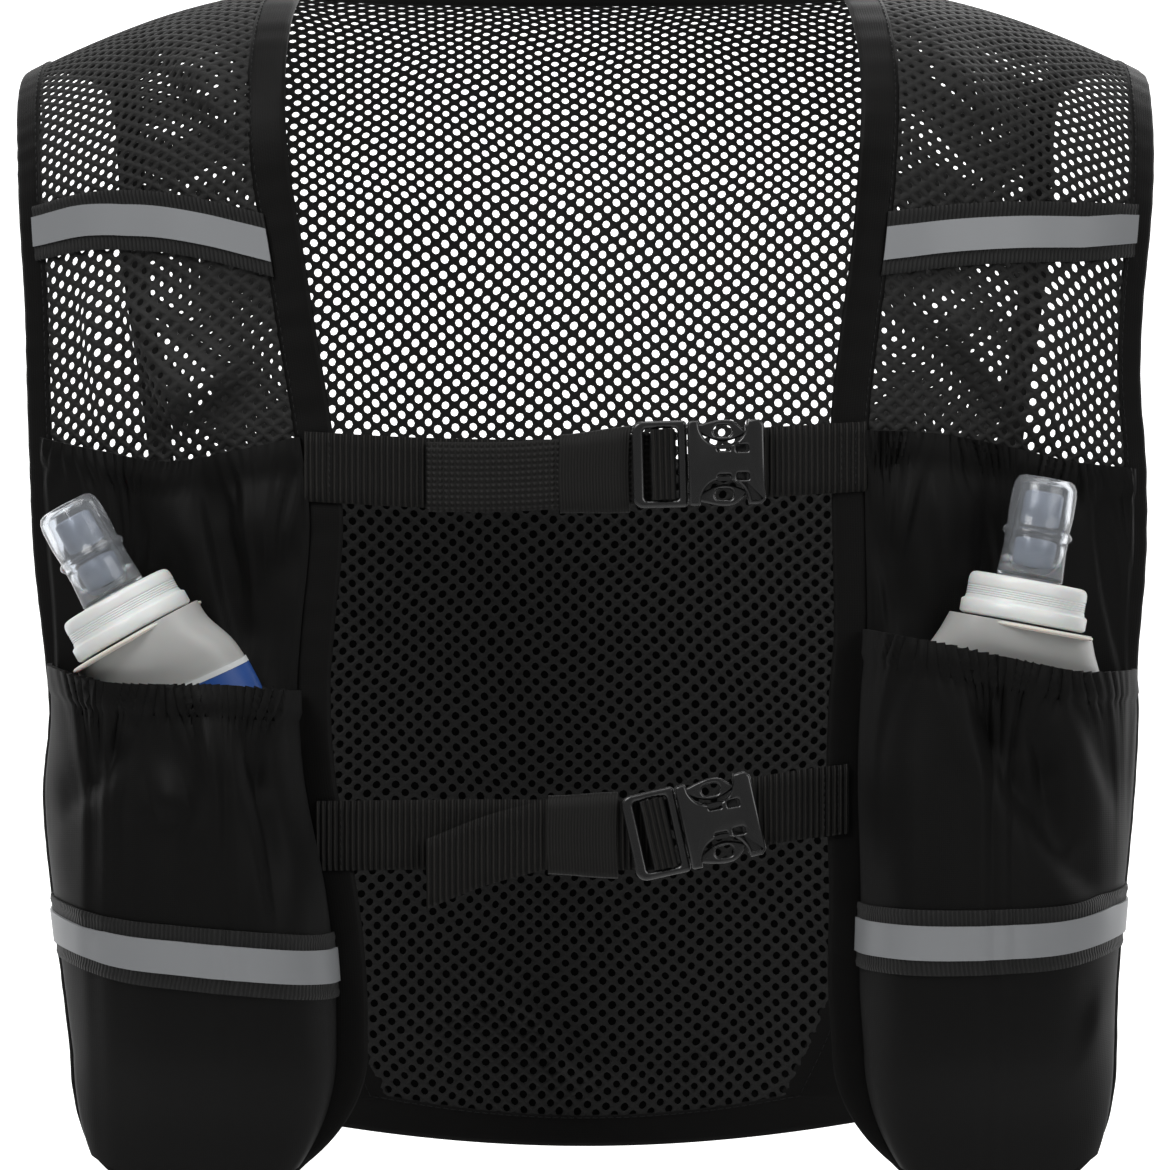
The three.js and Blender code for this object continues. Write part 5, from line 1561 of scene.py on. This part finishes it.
@dataclass
class Strap:
    """Chest strap: sewn webbing on both sides, a doubled tail, an elastic keeper and a buckle."""

    kind: str
    seat_x: float
    seat_drop: float
    tilt: float
    wardrobe: Wardrobe
    width: float = 0.025
    wall: float = 0.0015
    seat: float = 0.0022
    height: float = 0.031
    frame: float = 0.0196
    female: float = 0.0272
    rib: float = 0.0021

    @property
    def line(self) -> Curve:
        """Drop of the strap's middle line."""
        return STRAP_LINES[self.kind]

    @property
    def length(self) -> float:
        """Length of the closed buckle."""
        return self.frame + self.female + GAP

    @property
    def frame_x(self) -> float:
        """Middle of the frame in the buckle's own axes."""
        return -self.length / 2 + self.frame / 2

    @property
    def female_x(self) -> float:
        """Middle of the female half in the buckle's own axes."""
        return self.length / 2 - self.female / 2

    @property
    def buckle_lift(self) -> float:
        """Height of the buckle's middle over the webbing's underside."""
        return 2 * self.wall + 2 * GAP + 0.0025

    def matrix(self) -> Matrix:
        """Place of the buckle's own axes: X along the strap, Z up, -Y to the front."""
        x = self.seat_x * FORM.half_width
        share = FORM.share_at(x, -self.seat_drop * FORM.body_length, Facing.FRONT)
        place = FORM.lifted(x, share, np.array(self.seat + self.buckle_lift), Facing.FRONT)
        return Matrix.Translation(Vector(place)) @ Matrix.Rotation(math.radians(-self.tilt), 4, "Y")

    def end(self, offset: float) -> float:
        """x of a place along the buckle."""
        return self.seat_x * FORM.half_width + offset * math.cos(math.radians(self.tilt))

    def build(self) -> None:
        """Makes and dresses every piece of the strap."""
        frame_end = self.end(self.frame_x + 0.00575)
        start = float(self.line.at[0]) * FORM.half_width
        self.webbing(
            f"{self.kind}_strap_left_webbing",
            start,
            frame_end,
            lambda x: (0 * x, 0 * x + self.seat),
            "strap_left",
        )
        self.tail(frame_end)
        last = self.end(self.female_x + self.female / 2 - 0.002)
        stop = float(self.line.at[-1]) * FORM.half_width
        rise = self.buckle_lift - self.wall / 2
        self.webbing(
            f"{self.kind}_strap_right_webbing",
            last,
            stop,
            lambda x: (0 * x, self.seat + rise * (1 - smooth(x, last + 0.002, last + self.width))),
            "strap_right",
        )
        self.loop()
        self.keeper()
        self.buckle()

    def webbing(
        self, name: str, start: float, stop: float, shift, node: str, finish: Finish | None = None
    ) -> None:
        """Ribbed webbing along the strap's line.

        The rounded flat section is carried along x. Its faces rise and fall with the ribs, by a
        sine of the distance over the rib pitch, and the hem at its sewn end is half as thick again.

        Args:
            name: name of the piece.
            start: x where it starts.
            stop: x where it ends.
            shift: function of x that gives its fall below the line and its lift.
            node: the strap's node that it stands for.
            finish: its finish, the webbing's own if none is given.
        """
        rows = max(int((stop - start) / self.rib * 6), 24)
        x = np.linspace(start, stop, rows)
        across, lift = cross_section(8, 0.0, self.wall, 14.0)
        fall, up = shift(x)
        drop = self.line(x / FORM.half_width) * FORM.body_length + fall
        z = -drop[:, None] + (0.5 - across[None]) * self.width
        place = np.broadcast_to(x[:, None], z.shape)
        share = FORM.share_at(place, z, Facing.FRONT)
        ribs = 1 + 0.11 * np.sin(CIRCLE * x / self.rib)[:, None] * np.sign(lift - self.wall / 2)[None]
        ends = np.minimum(smooth(x, start, start + 0.0012), smooth(-x, -stop, -stop + 0.0012))[:, None]
        sewn = stop - x if "right" in name else x - start
        hem = 1 + 0.45 * (1 - smooth(sewn, 0.0052, 0.0062))[:, None] * (lift > self.wall / 2)[None]
        body = (lift[None] - self.wall / 2) * (0.6 + 0.4 * ends) * ribs * hem + self.wall / 2
        rings = FORM.lifted(place, share, up[:, None] + body, Facing.FRONT)
        uv = np.stack([place, np.broadcast_to(across[None] * self.width, z.shape)], -1)
        obj = tube(name, rings, uv)
        self.wardrobe.dress(obj, finish or self.wardrobe.webbing, f"{self.kind}_{node}")
        if "tail" not in name:
            self.box_stitch(name, x, up)

    def box_stitch(self, name: str, x: Array, up: Array) -> None:
        """Two rows of stitches across the sewn end of a strap."""
        at_start = "left" in name
        rows = []
        for offset in (0.004, 0.009):
            place = x[0] + offset if at_start else x[-1] - offset
            column = np.full(30, place)
            drop = float(self.line(place / FORM.half_width)) * FORM.body_length
            height = -drop + np.linspace(0.45, -0.45, 30) * self.width
            where = FORM.share_at(column, height, Facing.FRONT)
            lift = np.full(30, (up[0] if at_start else up[-1]) + self.wall + 0.0001)
            line = FORM.lifted(column, where, lift, Facing.FRONT)
            up_from = FORM.normal(column, where, Facing.FRONT)
            rows.append(stitches(f"{name}_row", line, up_from, 0.0026, THREAD))
        sewn = joined(f"{name}_stitching", rows)
        self.wardrobe.dress(sewn, self.wardrobe.thread)

    def tail(self, frame_end: float) -> None:
        """Free tail, doubled over the left webbing and running up into the frame."""
        falls, lifts = TAIL_ROWS[self.kind]
        last = falls.at[-1] * FORM.half_width
        base = self.seat + self.wall + GAP

        def shift(x: Array) -> tuple[Array, Array]:
            """Fall and lift of the tail."""
            free = x < last
            share = x / FORM.half_width
            fall = self.width * np.where(free, falls(share), 0)
            return fall, base + np.where(free, lifts(share) - lifts.value[-1], 0) * self.wall

        start = falls.at[0] * FORM.half_width
        self.webbing(f"{self.kind}_strap_tail_webbing", start, frame_end, shift, "strap_tail",
                     self.wardrobe.tail if self.kind == "top" else None)

    def loop(self) -> None:
        """Webbing wrapped over the frame's middle bar, seen in the window.

        Its section is a flat arch: height falls with the square of the distance from its middle.
        """
        turn = np.linspace(-1, 1, 49)
        z = np.linspace(-0.5, 0.5, 8) * self.width
        a, b = np.meshgrid(turn, z, indexing="ij")
        x = self.frame_x + 0.0012 + a * 0.0044
        ribs = 0.00022 * np.sin(CIRCLE * x / self.rib)
        top = -(0.0012 + 0.0022 * (1 - a**2) ** 0.6 + ribs)
        outer = np.stack([x, top, b], -1)
        inner = np.stack([x, top + 0.0013, b], -1)
        obj = slab(f"{self.kind}_strap_loop_webbing", outer, inner, np.stack([x, b], -1))
        obj.data.transform(self.matrix())
        self.wardrobe.dress(obj, self.wardrobe.webbing, f"{self.kind}_strap_loop")

    def keeper(self) -> None:
        """Wide elastic sleeve round both layers, a little wider and fuller towards the frame."""
        lean = self.height / 2 * math.sin(math.radians(self.tilt))
        end = self.end(self.frame_x - self.frame / 2) - lean - 0.0004
        length = 0.0250
        x = np.linspace(end - length, end, 90)
        room = 2 * self.wall + 3 * GAP
        across, lift = cross_section(12, -0.0009, room + 0.0009, 9.0)
        grow = 1 + 0.10 * smooth(x, end - length, end)
        drop = self.line(x / FORM.half_width) * FORM.body_length
        ribs = 1 + 0.02 * np.sin(CIRCLE * x / 0.0011)
        faces = []
        for extra, thick in ((0.0016, 1.0), (0.0004, 0.62)):
            z = -drop[:, None] + (0.5 - across[None]) * (self.width + 2 * extra) * grow[:, None]
            place = np.broadcast_to(x[:, None], z.shape) - 0.0006 * np.sin(math.pi * across)[None]
            share = FORM.share_at(place, z, Facing.FRONT)
            middle = room / 2
            swell = (lift[None] - middle) * thick * ribs[:, None] + middle
            faces.append(FORM.lifted(place, share, self.seat - GAP + swell, Facing.FRONT))
        uv = np.stack([np.broadcast_to(x[:, None], faces[0].shape[:2]),
                       np.broadcast_to(across[None] * self.width, faces[0].shape[:2])], -1)
        obj = slab(f"{self.kind}_strap_elastic", faces[0], faces[1], uv, wrap=True)
        self.wardrobe.dress(obj, self.wardrobe.elastic, f"{self.kind}_strap_keeper")

    # ------------------------------------------------------------------------------- buckle

    def plate(self, outer: Array, holes: list[Array], low: float, high: float, round_by: float) -> Obj:
        """Moulded plate: a flat outline with holes, given depth and rounded edges, made a mesh.

        Args:
            outer: outline, (n, 2) of x and z.
            holes: outlines of the gaps.
            low: front face, along y.
            high: back face.
            round_by: radius of its edges.

        Returns:
            The plate as a mesh object.
        """
        data = bpy.data.curves.new("plate", "CURVE")
        data.dimensions = "2D"
        data.fill_mode = "BOTH"
        data.extrude = (high - low) / 2 - round_by
        data.bevel_depth = round_by
        data.bevel_resolution = 2
        data.offset = -round_by
        for path in (outer, *holes):
            spline = data.splines.new("POLY")
            spline.points.add(len(path) - 1)
            flat = np.concatenate([path, np.zeros((len(path), 1)), np.ones((len(path), 1))], axis=1)
            spline.points.foreach_set("co", flat.ravel())
            spline.use_cyclic_u = True
        shape = linked("plate", data)
        bpy.context.view_layer.update()
        mesh = bpy.data.meshes.new_from_object(shape.evaluated_get(bpy.context.evaluated_depsgraph_get()))
        bpy.data.objects.remove(shape)
        bpy.data.curves.remove(data)
        count = len(mesh.vertices)
        co = np.empty(count * 3)
        mesh.vertices.foreach_get("co", co)
        co = co.reshape(-1, 3)
        turned = np.stack([co[:, 0], (low + high) / 2 + co[:, 2], co[:, 1]], -1)
        mesh.vertices.foreach_set("co", turned.ravel())
        obj = linked("plate", mesh)
        weld(obj, 2e-6)
        return obj

    def buckle(self) -> None:
        """Side-release buckle, closed: ladder frame with two prongs, and the female half."""
        male = [
            self.plate(
                rounded_box(self.frame_x, 0, self.frame, self.height, 0.0038, 0.0016),
                [rounded_box(self.frame_x + 0.0004, 0, 0.0122, 0.0258, 0.0014, 0.0014)],
                -0.0025,
                0.0025,
                0.0011,
            ),
            self.plate(
                rounded_box(self.frame_x - 0.0014, 0, 0.0030, 0.0268, 0.0008, 0.0008),
                [],
                0.0002,
                0.0022,
                0.0006,
            ),
        ]
        lobe_x = self.frame_x + self.frame / 2 + 0.0128
        for end in (-1, 1):
            eye = rounded_box(lobe_x, end * 0.0113, 0.0066, 0.0042, 0.0019, 0.0019)
            arm = prong(self.frame_x + self.frame / 2 - 0.0006, lobe_x, end)
            male.append(self.plate(arm, [eye], -0.0024, 0.0021, 0.0008))
        self.finish_buckle("male", male)

        outline = female_outline(self.female_x, lobe_x, self.female, self.height)
        slots = [
            rounded_box(lobe_x + along, end * off, length, height, radius, radius)
            for along, off, length, height, radius in (
                (0.0002, 0.0049, 0.0044, 0.0013, 0.0006),
                (0.0068, 0.0050, 0.0042, 0.0025, 0.0007),
            )
            for end in (-1, 1)
        ]
        right = self.female_x + self.female / 2
        female = [
            self.plate(outline, slots, -0.0052, -0.0026, 0.0009),
            self.plate(outline, slots[:2], 0.0026, 0.0050, 0.0009),
        ]
        for x, length, height in (
            (right - 0.0036, 0.0062, 0.0270),
            (self.female_x, self.female - 0.003, 0.0070),
        ):
            core = rounded_box(x, 0, length, height, 0.0006, 0.0006)
            female.append(self.plate(core, [], -0.003, 0.003, 0.0003))
        self.finish_buckle("female", female)

    def finish_buckle(self, half: str, parts: list[Obj]) -> None:
        """Joins the plates of one half, puts them in place and dresses them."""
        obj = joined(f"{self.kind}_buckle_{half}_moulding", parts)
        obj.data.transform(self.matrix())
        obj.data.polygons.foreach_set("use_smooth", np.ones(len(obj.data.polygons), bool))
        crisp(obj, 38)
        self.wardrobe.dress(obj, self.wardrobe.plastic, f"{self.kind}_buckle_{half}")


def rounded_box(x: float, z: float, length: float, height: float, left: float, right: float) -> Array:
    """Outline of a box with quarter circles at its corners, of one radius at each end.

    Args:
        x: middle, along.
        z: middle, up.
        length: size along.
        height: size up.
        left: radius of the two corners at the start.
        right: radius of the two corners at the end.

    Returns:
        Points once round, (n, 2).
    """
    turn = np.linspace(0, math.pi / 2, 7)
    corners = []
    for start, sx, sz, radius in ((0, 1, 1, right), (1, -1, 1, left), (2, -1, -1, left), (3, 1, -1, right)):
        angle = turn + start * math.pi / 2
        corners.append(
            np.stack(
                [
                    x + sx * (length / 2 - radius) + radius * np.cos(angle),
                    z + sz * (height / 2 - radius) + radius * np.sin(angle),
                ],
                -1,
            )
        )
    return np.concatenate(corners)


def female_outline(x: float, lobe: float, length: float, height: float) -> Array:
    """Outline of the female half: a rounded box with a deep round bite over each prong.

    The bite is half an oval: its depth is the root of one minus a power of the distance from the
    prong's middle.

    Args:
        x: middle along.
        lobe: x of the prongs.
        length: size along.
        height: size up.

    Returns:
        Points once round, (n, 2).
    """
    half = length / 2
    reach = 0.0087
    bitten = np.linspace(lobe - reach, lobe + reach, 41)
    across = np.concatenate([[x - half + 0.0008], bitten, [x + half - 0.0016]])
    off = np.clip((across - lobe) / reach, -1, 1)
    bite = 0.0092 * np.sqrt(1 - np.abs(off) ** 2.2)
    top = np.stack([across, height / 2 - 0.0004 - bite], -1)
    right = np.array([[x + half, height / 2 - 0.0022], [x + half, -height / 2 + 0.0022]])
    left = np.array([[x - half, -height / 2 + 0.0010], [x - half, height / 2 - 0.0010]])
    return np.concatenate([top, right, top[::-1] * [1, -1], left])[::-1]


def prong(root: float, lobe: float, end: int) -> Array:
    """Outline of one spring prong: a bowed arm that swells into an arched thumb piece.

    Args:
        root: x where it leaves the frame.
        lobe: x of the thumb piece.
        end: 1 for the upper prong, -1 for the lower.

    Returns:
        Points once round, (n, 2).
    """
    x = np.linspace(root, lobe + 0.0084, 60)
    stops = (root, root + 0.0035, lobe - 0.004, lobe, lobe + 0.004, lobe + 0.0084)
    upper = Curve(stops, (0.0132, 0.0134, 0.0148, 0.0154, 0.0147, 0.0108))(x)
    lower = Curve(stops, (0.0102, 0.0110, 0.0086, 0.0076, 0.0084, 0.0100))(x)
    path = np.stack([np.concatenate([x, x[::-1]]), np.concatenate([upper, lower[::-1]])], -1)
    return path * [1, end]


def turned_rings(up: Array, radius: Array, sides: int, squash: Array) -> Array:
    """Rings of a turned body, (along, around, 3), each flattened along y by its squash."""
    turn = np.linspace(0, CIRCLE, sides + 1)[:-1]
    height = np.broadcast_to(up[:, None], (len(up), sides))
    across = radius[:, None] * np.cos(turn)
    return np.stack([across, radius[:, None] * np.sin(turn) * squash[:, None], height], -1)


@dataclass
class Flask:
    """Soft flask: film body with a welded collar, screw cap and bite valve."""

    side: Side
    wardrobe: Wardrobe
    cap_radius: float = 0.0226
    cap_height: float = 0.0152
    valve_radius: float = 0.0126
    valve_height: float = 0.0365
    width: float = 0.066
    depth: float = 0.034

    @property
    def seat(self) -> FlaskSeat:
        """Where this flask sits."""
        return SEATS[self.side]

    def build(self) -> None:
        """Makes and dresses every piece of the flask."""
        self.body()
        self.cap()
        self.valve()

    def skin(self, down: Array, angle: Array, proud: float = 0.0) -> Array:
        """Points of the film body.

        Each section is a rounded oval across the flask: width times the cosine and depth times the
        sine of the angle, with a power that flattens it, and shallow creases along it.

        Args:
            down: share of the length below the cap.
            angle: place round the section.
            proud: how far in front of the film.

        Returns:
            Points.
        """
        shoulder = (0.77, 0.79, 0.93, 0.99, 1.03) if self.side is Side.LEFT else (0.80, 0.87, 1.0, 1.02, 1.0)
        width = Curve((0, 0.05, 0.13, 0.22, 0.34, 0.6, 0.8, 0.93, 1.0), (*shoulder, 1.0, 0.96, 0.86, 0.8))
        depth = Curve(
            (0, 0.05, 0.16, 0.34, 0.6, 0.8, 0.93, 1.0), (1.3, 1.27, 1.08, 1.0, 0.96, 0.78, 0.4, 0.12)
        )
        below = 0.0006 + down * self.seat.length
        x, z, lean = self.seat.middle(below)
        crease = 1 + 0.012 * np.sin(3 * angle + 9 * down) * smooth(down, 0.1, 0.3)
        across = np.cos(angle) * width(down) * self.width / 2 * crease + proud * np.cos(angle)
        out = np.sin(angle) * depth(down) * self.depth / 2 * crease + proud * np.sin(angle)
        px, pz = x + across * np.cos(lean), z - across * np.sin(lean)
        share = FORM.share_at(px, pz, Facing.FRONT)
        points = FORM.point(px, share, Facing.FRONT)
        points[..., 1] -= self.seat.out(below) + out
        return points

    def body(self) -> None:
        """Film body, with the welded collar under the cap and the plain blue area."""
        label = self.side.label
        down, angle = np.meshgrid(np.linspace(0, 1, 60), np.linspace(0, CIRCLE, 65)[:-1], indexing="ij")
        rings = self.skin(down, angle)
        uv = np.stack([down * self.seat.length, angle / CIRCLE * 0.16], -1)
        obj = tube(f"{label}_flask_film", rings, uv)
        self.wardrobe.dress(obj, self.wardrobe.film, f"{label}_flask_body")
        radius = np.array([0.86, 1.03, 1.06, 1.06, 1.03, 0.9]) * 0.0244
        up = -0.0008 - np.array([0.00, 0.0001, 0.0005, 0.0010, 0.0015, 0.0017])
        self.wardrobe.dress(self.lathe(f"{label}_flask_collar", up, radius, 72, 0), self.wardrobe.collar)
        if self.side is Side.LEFT:
            self.blue_area()

    def blue_area(self) -> None:
        """Plain blue area low on the film, with a pale line along its upper edge."""
        for name, start, stop, proud, finish in (
            ("left_flask_blue_area", 0.0, 1.0, 0.00035, self.wardrobe.blue),
            ("left_flask_blue_edge", -0.014, 0.0, 0.00045, self.wardrobe.edge),
        ):
            a, b = np.meshgrid(np.linspace(0, 1, 40), np.linspace(0, 1, 60), indexing="ij")
            angle = math.radians(-8) + b * math.radians(120)
            first = 0.190 + 0.02 * b
            down = first + start + (stop - start) * a * (0.75 - first if stop > 0.5 else 1.0)
            outer, inner = self.skin(down, angle, proud), self.skin(down, angle, proud - 0.0003)
            obj = slab(name, outer, inner, np.stack([down * 0.1, angle * 0.03], -1))
            self.wardrobe.dress(obj, finish)

    def lathe(self, name: str, up: Array, radius: Array, sides: int, lift: float) -> Obj:
        """Turned body: a profile of radius against height, swept once round the flask's neck."""
        ring = turned_rings(up, radius, sides, np.ones(len(up)))
        obj = tube(name, ring, ring[..., :2])
        obj.data.transform(self.seat.matrix(lift))
        return obj

    def cap(self) -> None:
        """Screw cap: a wide lower band, a step, fine ribs round it and a smooth rounded top."""
        ribs = np.linspace(0.44, 0.70, 31)
        ribbed = 0.938 + 0.005 * np.cos((ribs - 0.44) / 0.26 * 10 * math.pi)
        foot = [0.0, 0.0, 0.03, 0.06, 0.32, 0.345, 0.37, 0.40]
        foot_radius = [0.80, 0.95, 0.985, 1.0, 1.0, 0.985, 0.955, 0.948]
        top = [0.75, 0.86, 0.92, 0.96, 0.985, 1.0, 1.0]
        top_radius = [0.942, 0.938, 0.925, 0.905, 0.88, 0.84, 0.60]
        up = np.concatenate([foot, ribs, top])
        radius = np.concatenate([foot_radius, ribbed, top_radius])
        label = self.side.label
        obj = self.lathe(f"{label}_flask_lid", up * self.cap_height, radius * self.cap_radius, 96, 0.0)
        self.wardrobe.dress(obj, self.wardrobe.cap, f"{label}_flask_cap")

    def valve(self) -> None:
        """Bite valve: a clear hollow sleeve with a raised ring, with darker cells inside as painted shade of
        its hollow.
        """
        up = np.array([0.0, 0.02, 0.30, 0.40, 0.425, 0.45, 0.475, 0.50, 0.66, 0.84, 0.93, 0.98, 1.0, 1.0])
        radius = np.array([0.92, 0.95, 0.90, 0.91, 0.98, 1.0, 0.98, 0.90, 0.93, 0.92, 0.88, 0.80, 0.68, 0.30])
        wall_up = np.array([0.955, 0.955, 0.90, 0.60, 0.30, 0.06, 0.06])
        wall_radius = np.array([0.20, 0.60, 0.70, 0.74, 0.74, 0.72, 0.20])
        label, count = self.side.label, 64
        whole = np.concatenate([up, wall_up]) * self.valve_height
        wide = np.concatenate([radius, wall_radius]) * self.valve_radius
        squash = 1 - 0.10 * smooth(whole / self.valve_height, 0.3, 1.0)
        both = turned_rings(whole, wide, count, squash)
        faces = [quads(len(both), count, True)]
        cap = np.arange(count)
        faces += [cap[None, ::-1], ((len(both) - 1) * count + cap)[None]]
        obj = mesh_object(f"{label}_mouthpiece", both, faces, both[..., :2].reshape(-1, 2))
        obj.data.transform(self.seat.matrix(self.cap_height + GAP))
        self.wardrobe.dress(obj, self.wardrobe.valve, f"{label}_bite_valve")
        self.core()

    def core(self) -> None:
        """Painted shade of the valve's hollow: two darker cells above and below the ring, seen through its
        wall.
        """
        cells = []
        for start, stop, radius in ((0.10, 0.42, 0.60), (0.50, 0.86, 0.56)):
            up = np.array([start, start, start + 0.02, stop - 0.02, stop, stop]) * self.valve_height
            wide = np.array([0.3, 0.9, 1.0, 1.0, 0.9, 0.3]) * radius * self.valve_radius
            cells.append(self.lathe("cell", up, wide, 40, self.cap_height + GAP))
        obj = joined(f"{self.side.label}_mouthpiece_hollow", cells)
        self.wardrobe.dress(obj, self.wardrobe.stem)


# ------------------------------------------------------------------------------------------- studio


@dataclass
class Studio:
    """Pale floor and backdrop, soft lights, and the camera of the photograph."""

    distance: float = 2.105
    level: float = -0.222
    focal: float = 172.3

    def build(self) -> None:
        """Makes the camera, the floor, the backdrop and the lights."""
        camera = linked("camera", bpy.data.cameras.new("camera"))
        camera.data.sensor_width = 36.0
        camera.data.lens = self.focal
        camera.data.clip_start = 0.05
        camera.data.clip_end = 50
        camera.location = (0, -self.distance, self.level)
        camera.rotation_euler = (math.pi / 2, 0, 0)
        bpy.context.scene.camera = camera
        wide, back, ground, top = 9, 4.5, -1.6, 8
        foot = [(-wide, back, ground), (wide, back, ground)]
        self.surface("floor", [(-wide, -wide, ground), (wide, -wide, ground), *foot[::-1]], 0.0)
        self.surface("backdrop", [*foot, (wide, back, top), (-wide, back, top)], 1.0)
        for name, place, size, power in (
            ("key", (-1.2, -1.6, 1.4), 1.1, 34.0),
            ("fill", (1.5, -1.7, 0.6), 1.3, 16.0),
            ("top", (0.1, -0.5, 2.0), 1.2, 16.0),
            ("rim", (0.6, 1.6, 1.1), 1.2, 8.0),
        ):
            self.lamp(name, place, size, power)
        world = bpy.data.worlds.new("studio")
        world.use_nodes = True
        sky = world.node_tree.nodes["Background"]
        sky.inputs["Color"].default_value = (1, 1, 1, 1)
        sky.inputs["Strength"].default_value = 0.25
        bpy.context.scene.world = world
        bpy.context.scene.view_settings.view_transform = "Standard"

    def surface(self, name: str, corners: list[tuple[float, float, float]], glow: float) -> None:
        """Plain pale plane of the studio; glow lights the backdrop to white."""
        mesh = bpy.data.meshes.new(name)
        mesh.from_pydata(corners, [], [(0, 1, 2, 3)])
        obj = linked(name, mesh)
        material = bpy.data.materials.new(name)
        material.use_nodes = True
        shader = material.node_tree.nodes["Principled BSDF"]
        shader.inputs["Base Color"].default_value = (0.86, 0.86, 0.86, 1)
        shader.inputs["Roughness"].default_value = 0.9
        shader.inputs["Emission Color"].default_value = (1, 1, 1, 1)
        shader.inputs["Emission Strength"].default_value = glow
        mesh.materials.append(material)

    def lamp(self, name: str, place: tuple[float, float, float], size: float, power: float) -> None:
        """Square soft light aimed at the middle of the vest."""
        data = bpy.data.lights.new(name, "AREA")
        data.size = size
        data.energy = power
        obj = linked(name, data)
        obj.location = place
        aim = Vector((0, 0, -0.2)) - Vector(place)
        obj.rotation_euler = aim.to_track_quat("-Z", "Y").to_euler()


def main() -> None:
    """Builds the studio and the vest in order."""
    logging.basicConfig(level=logging.INFO, format="%(message)s")
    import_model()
    Studio().build()
    wardrobe = Wardrobe()
    BackPanel(wardrobe).build()
    for cut in (LEFT_CUT, RIGHT_CUT):
        FrontPanel(cut, wardrobe).build()
        LOG.info("%s front panel done", cut.side.label)
    Strap("top", 0.197, 0.4005, 1.5, wardrobe).build()
    Strap("bottom", 0.188, 0.69, 12.5, wardrobe).build()
    for side in Side:
        Flask(side, wardrobe).build()


if __name__ == "__main__":
    main()
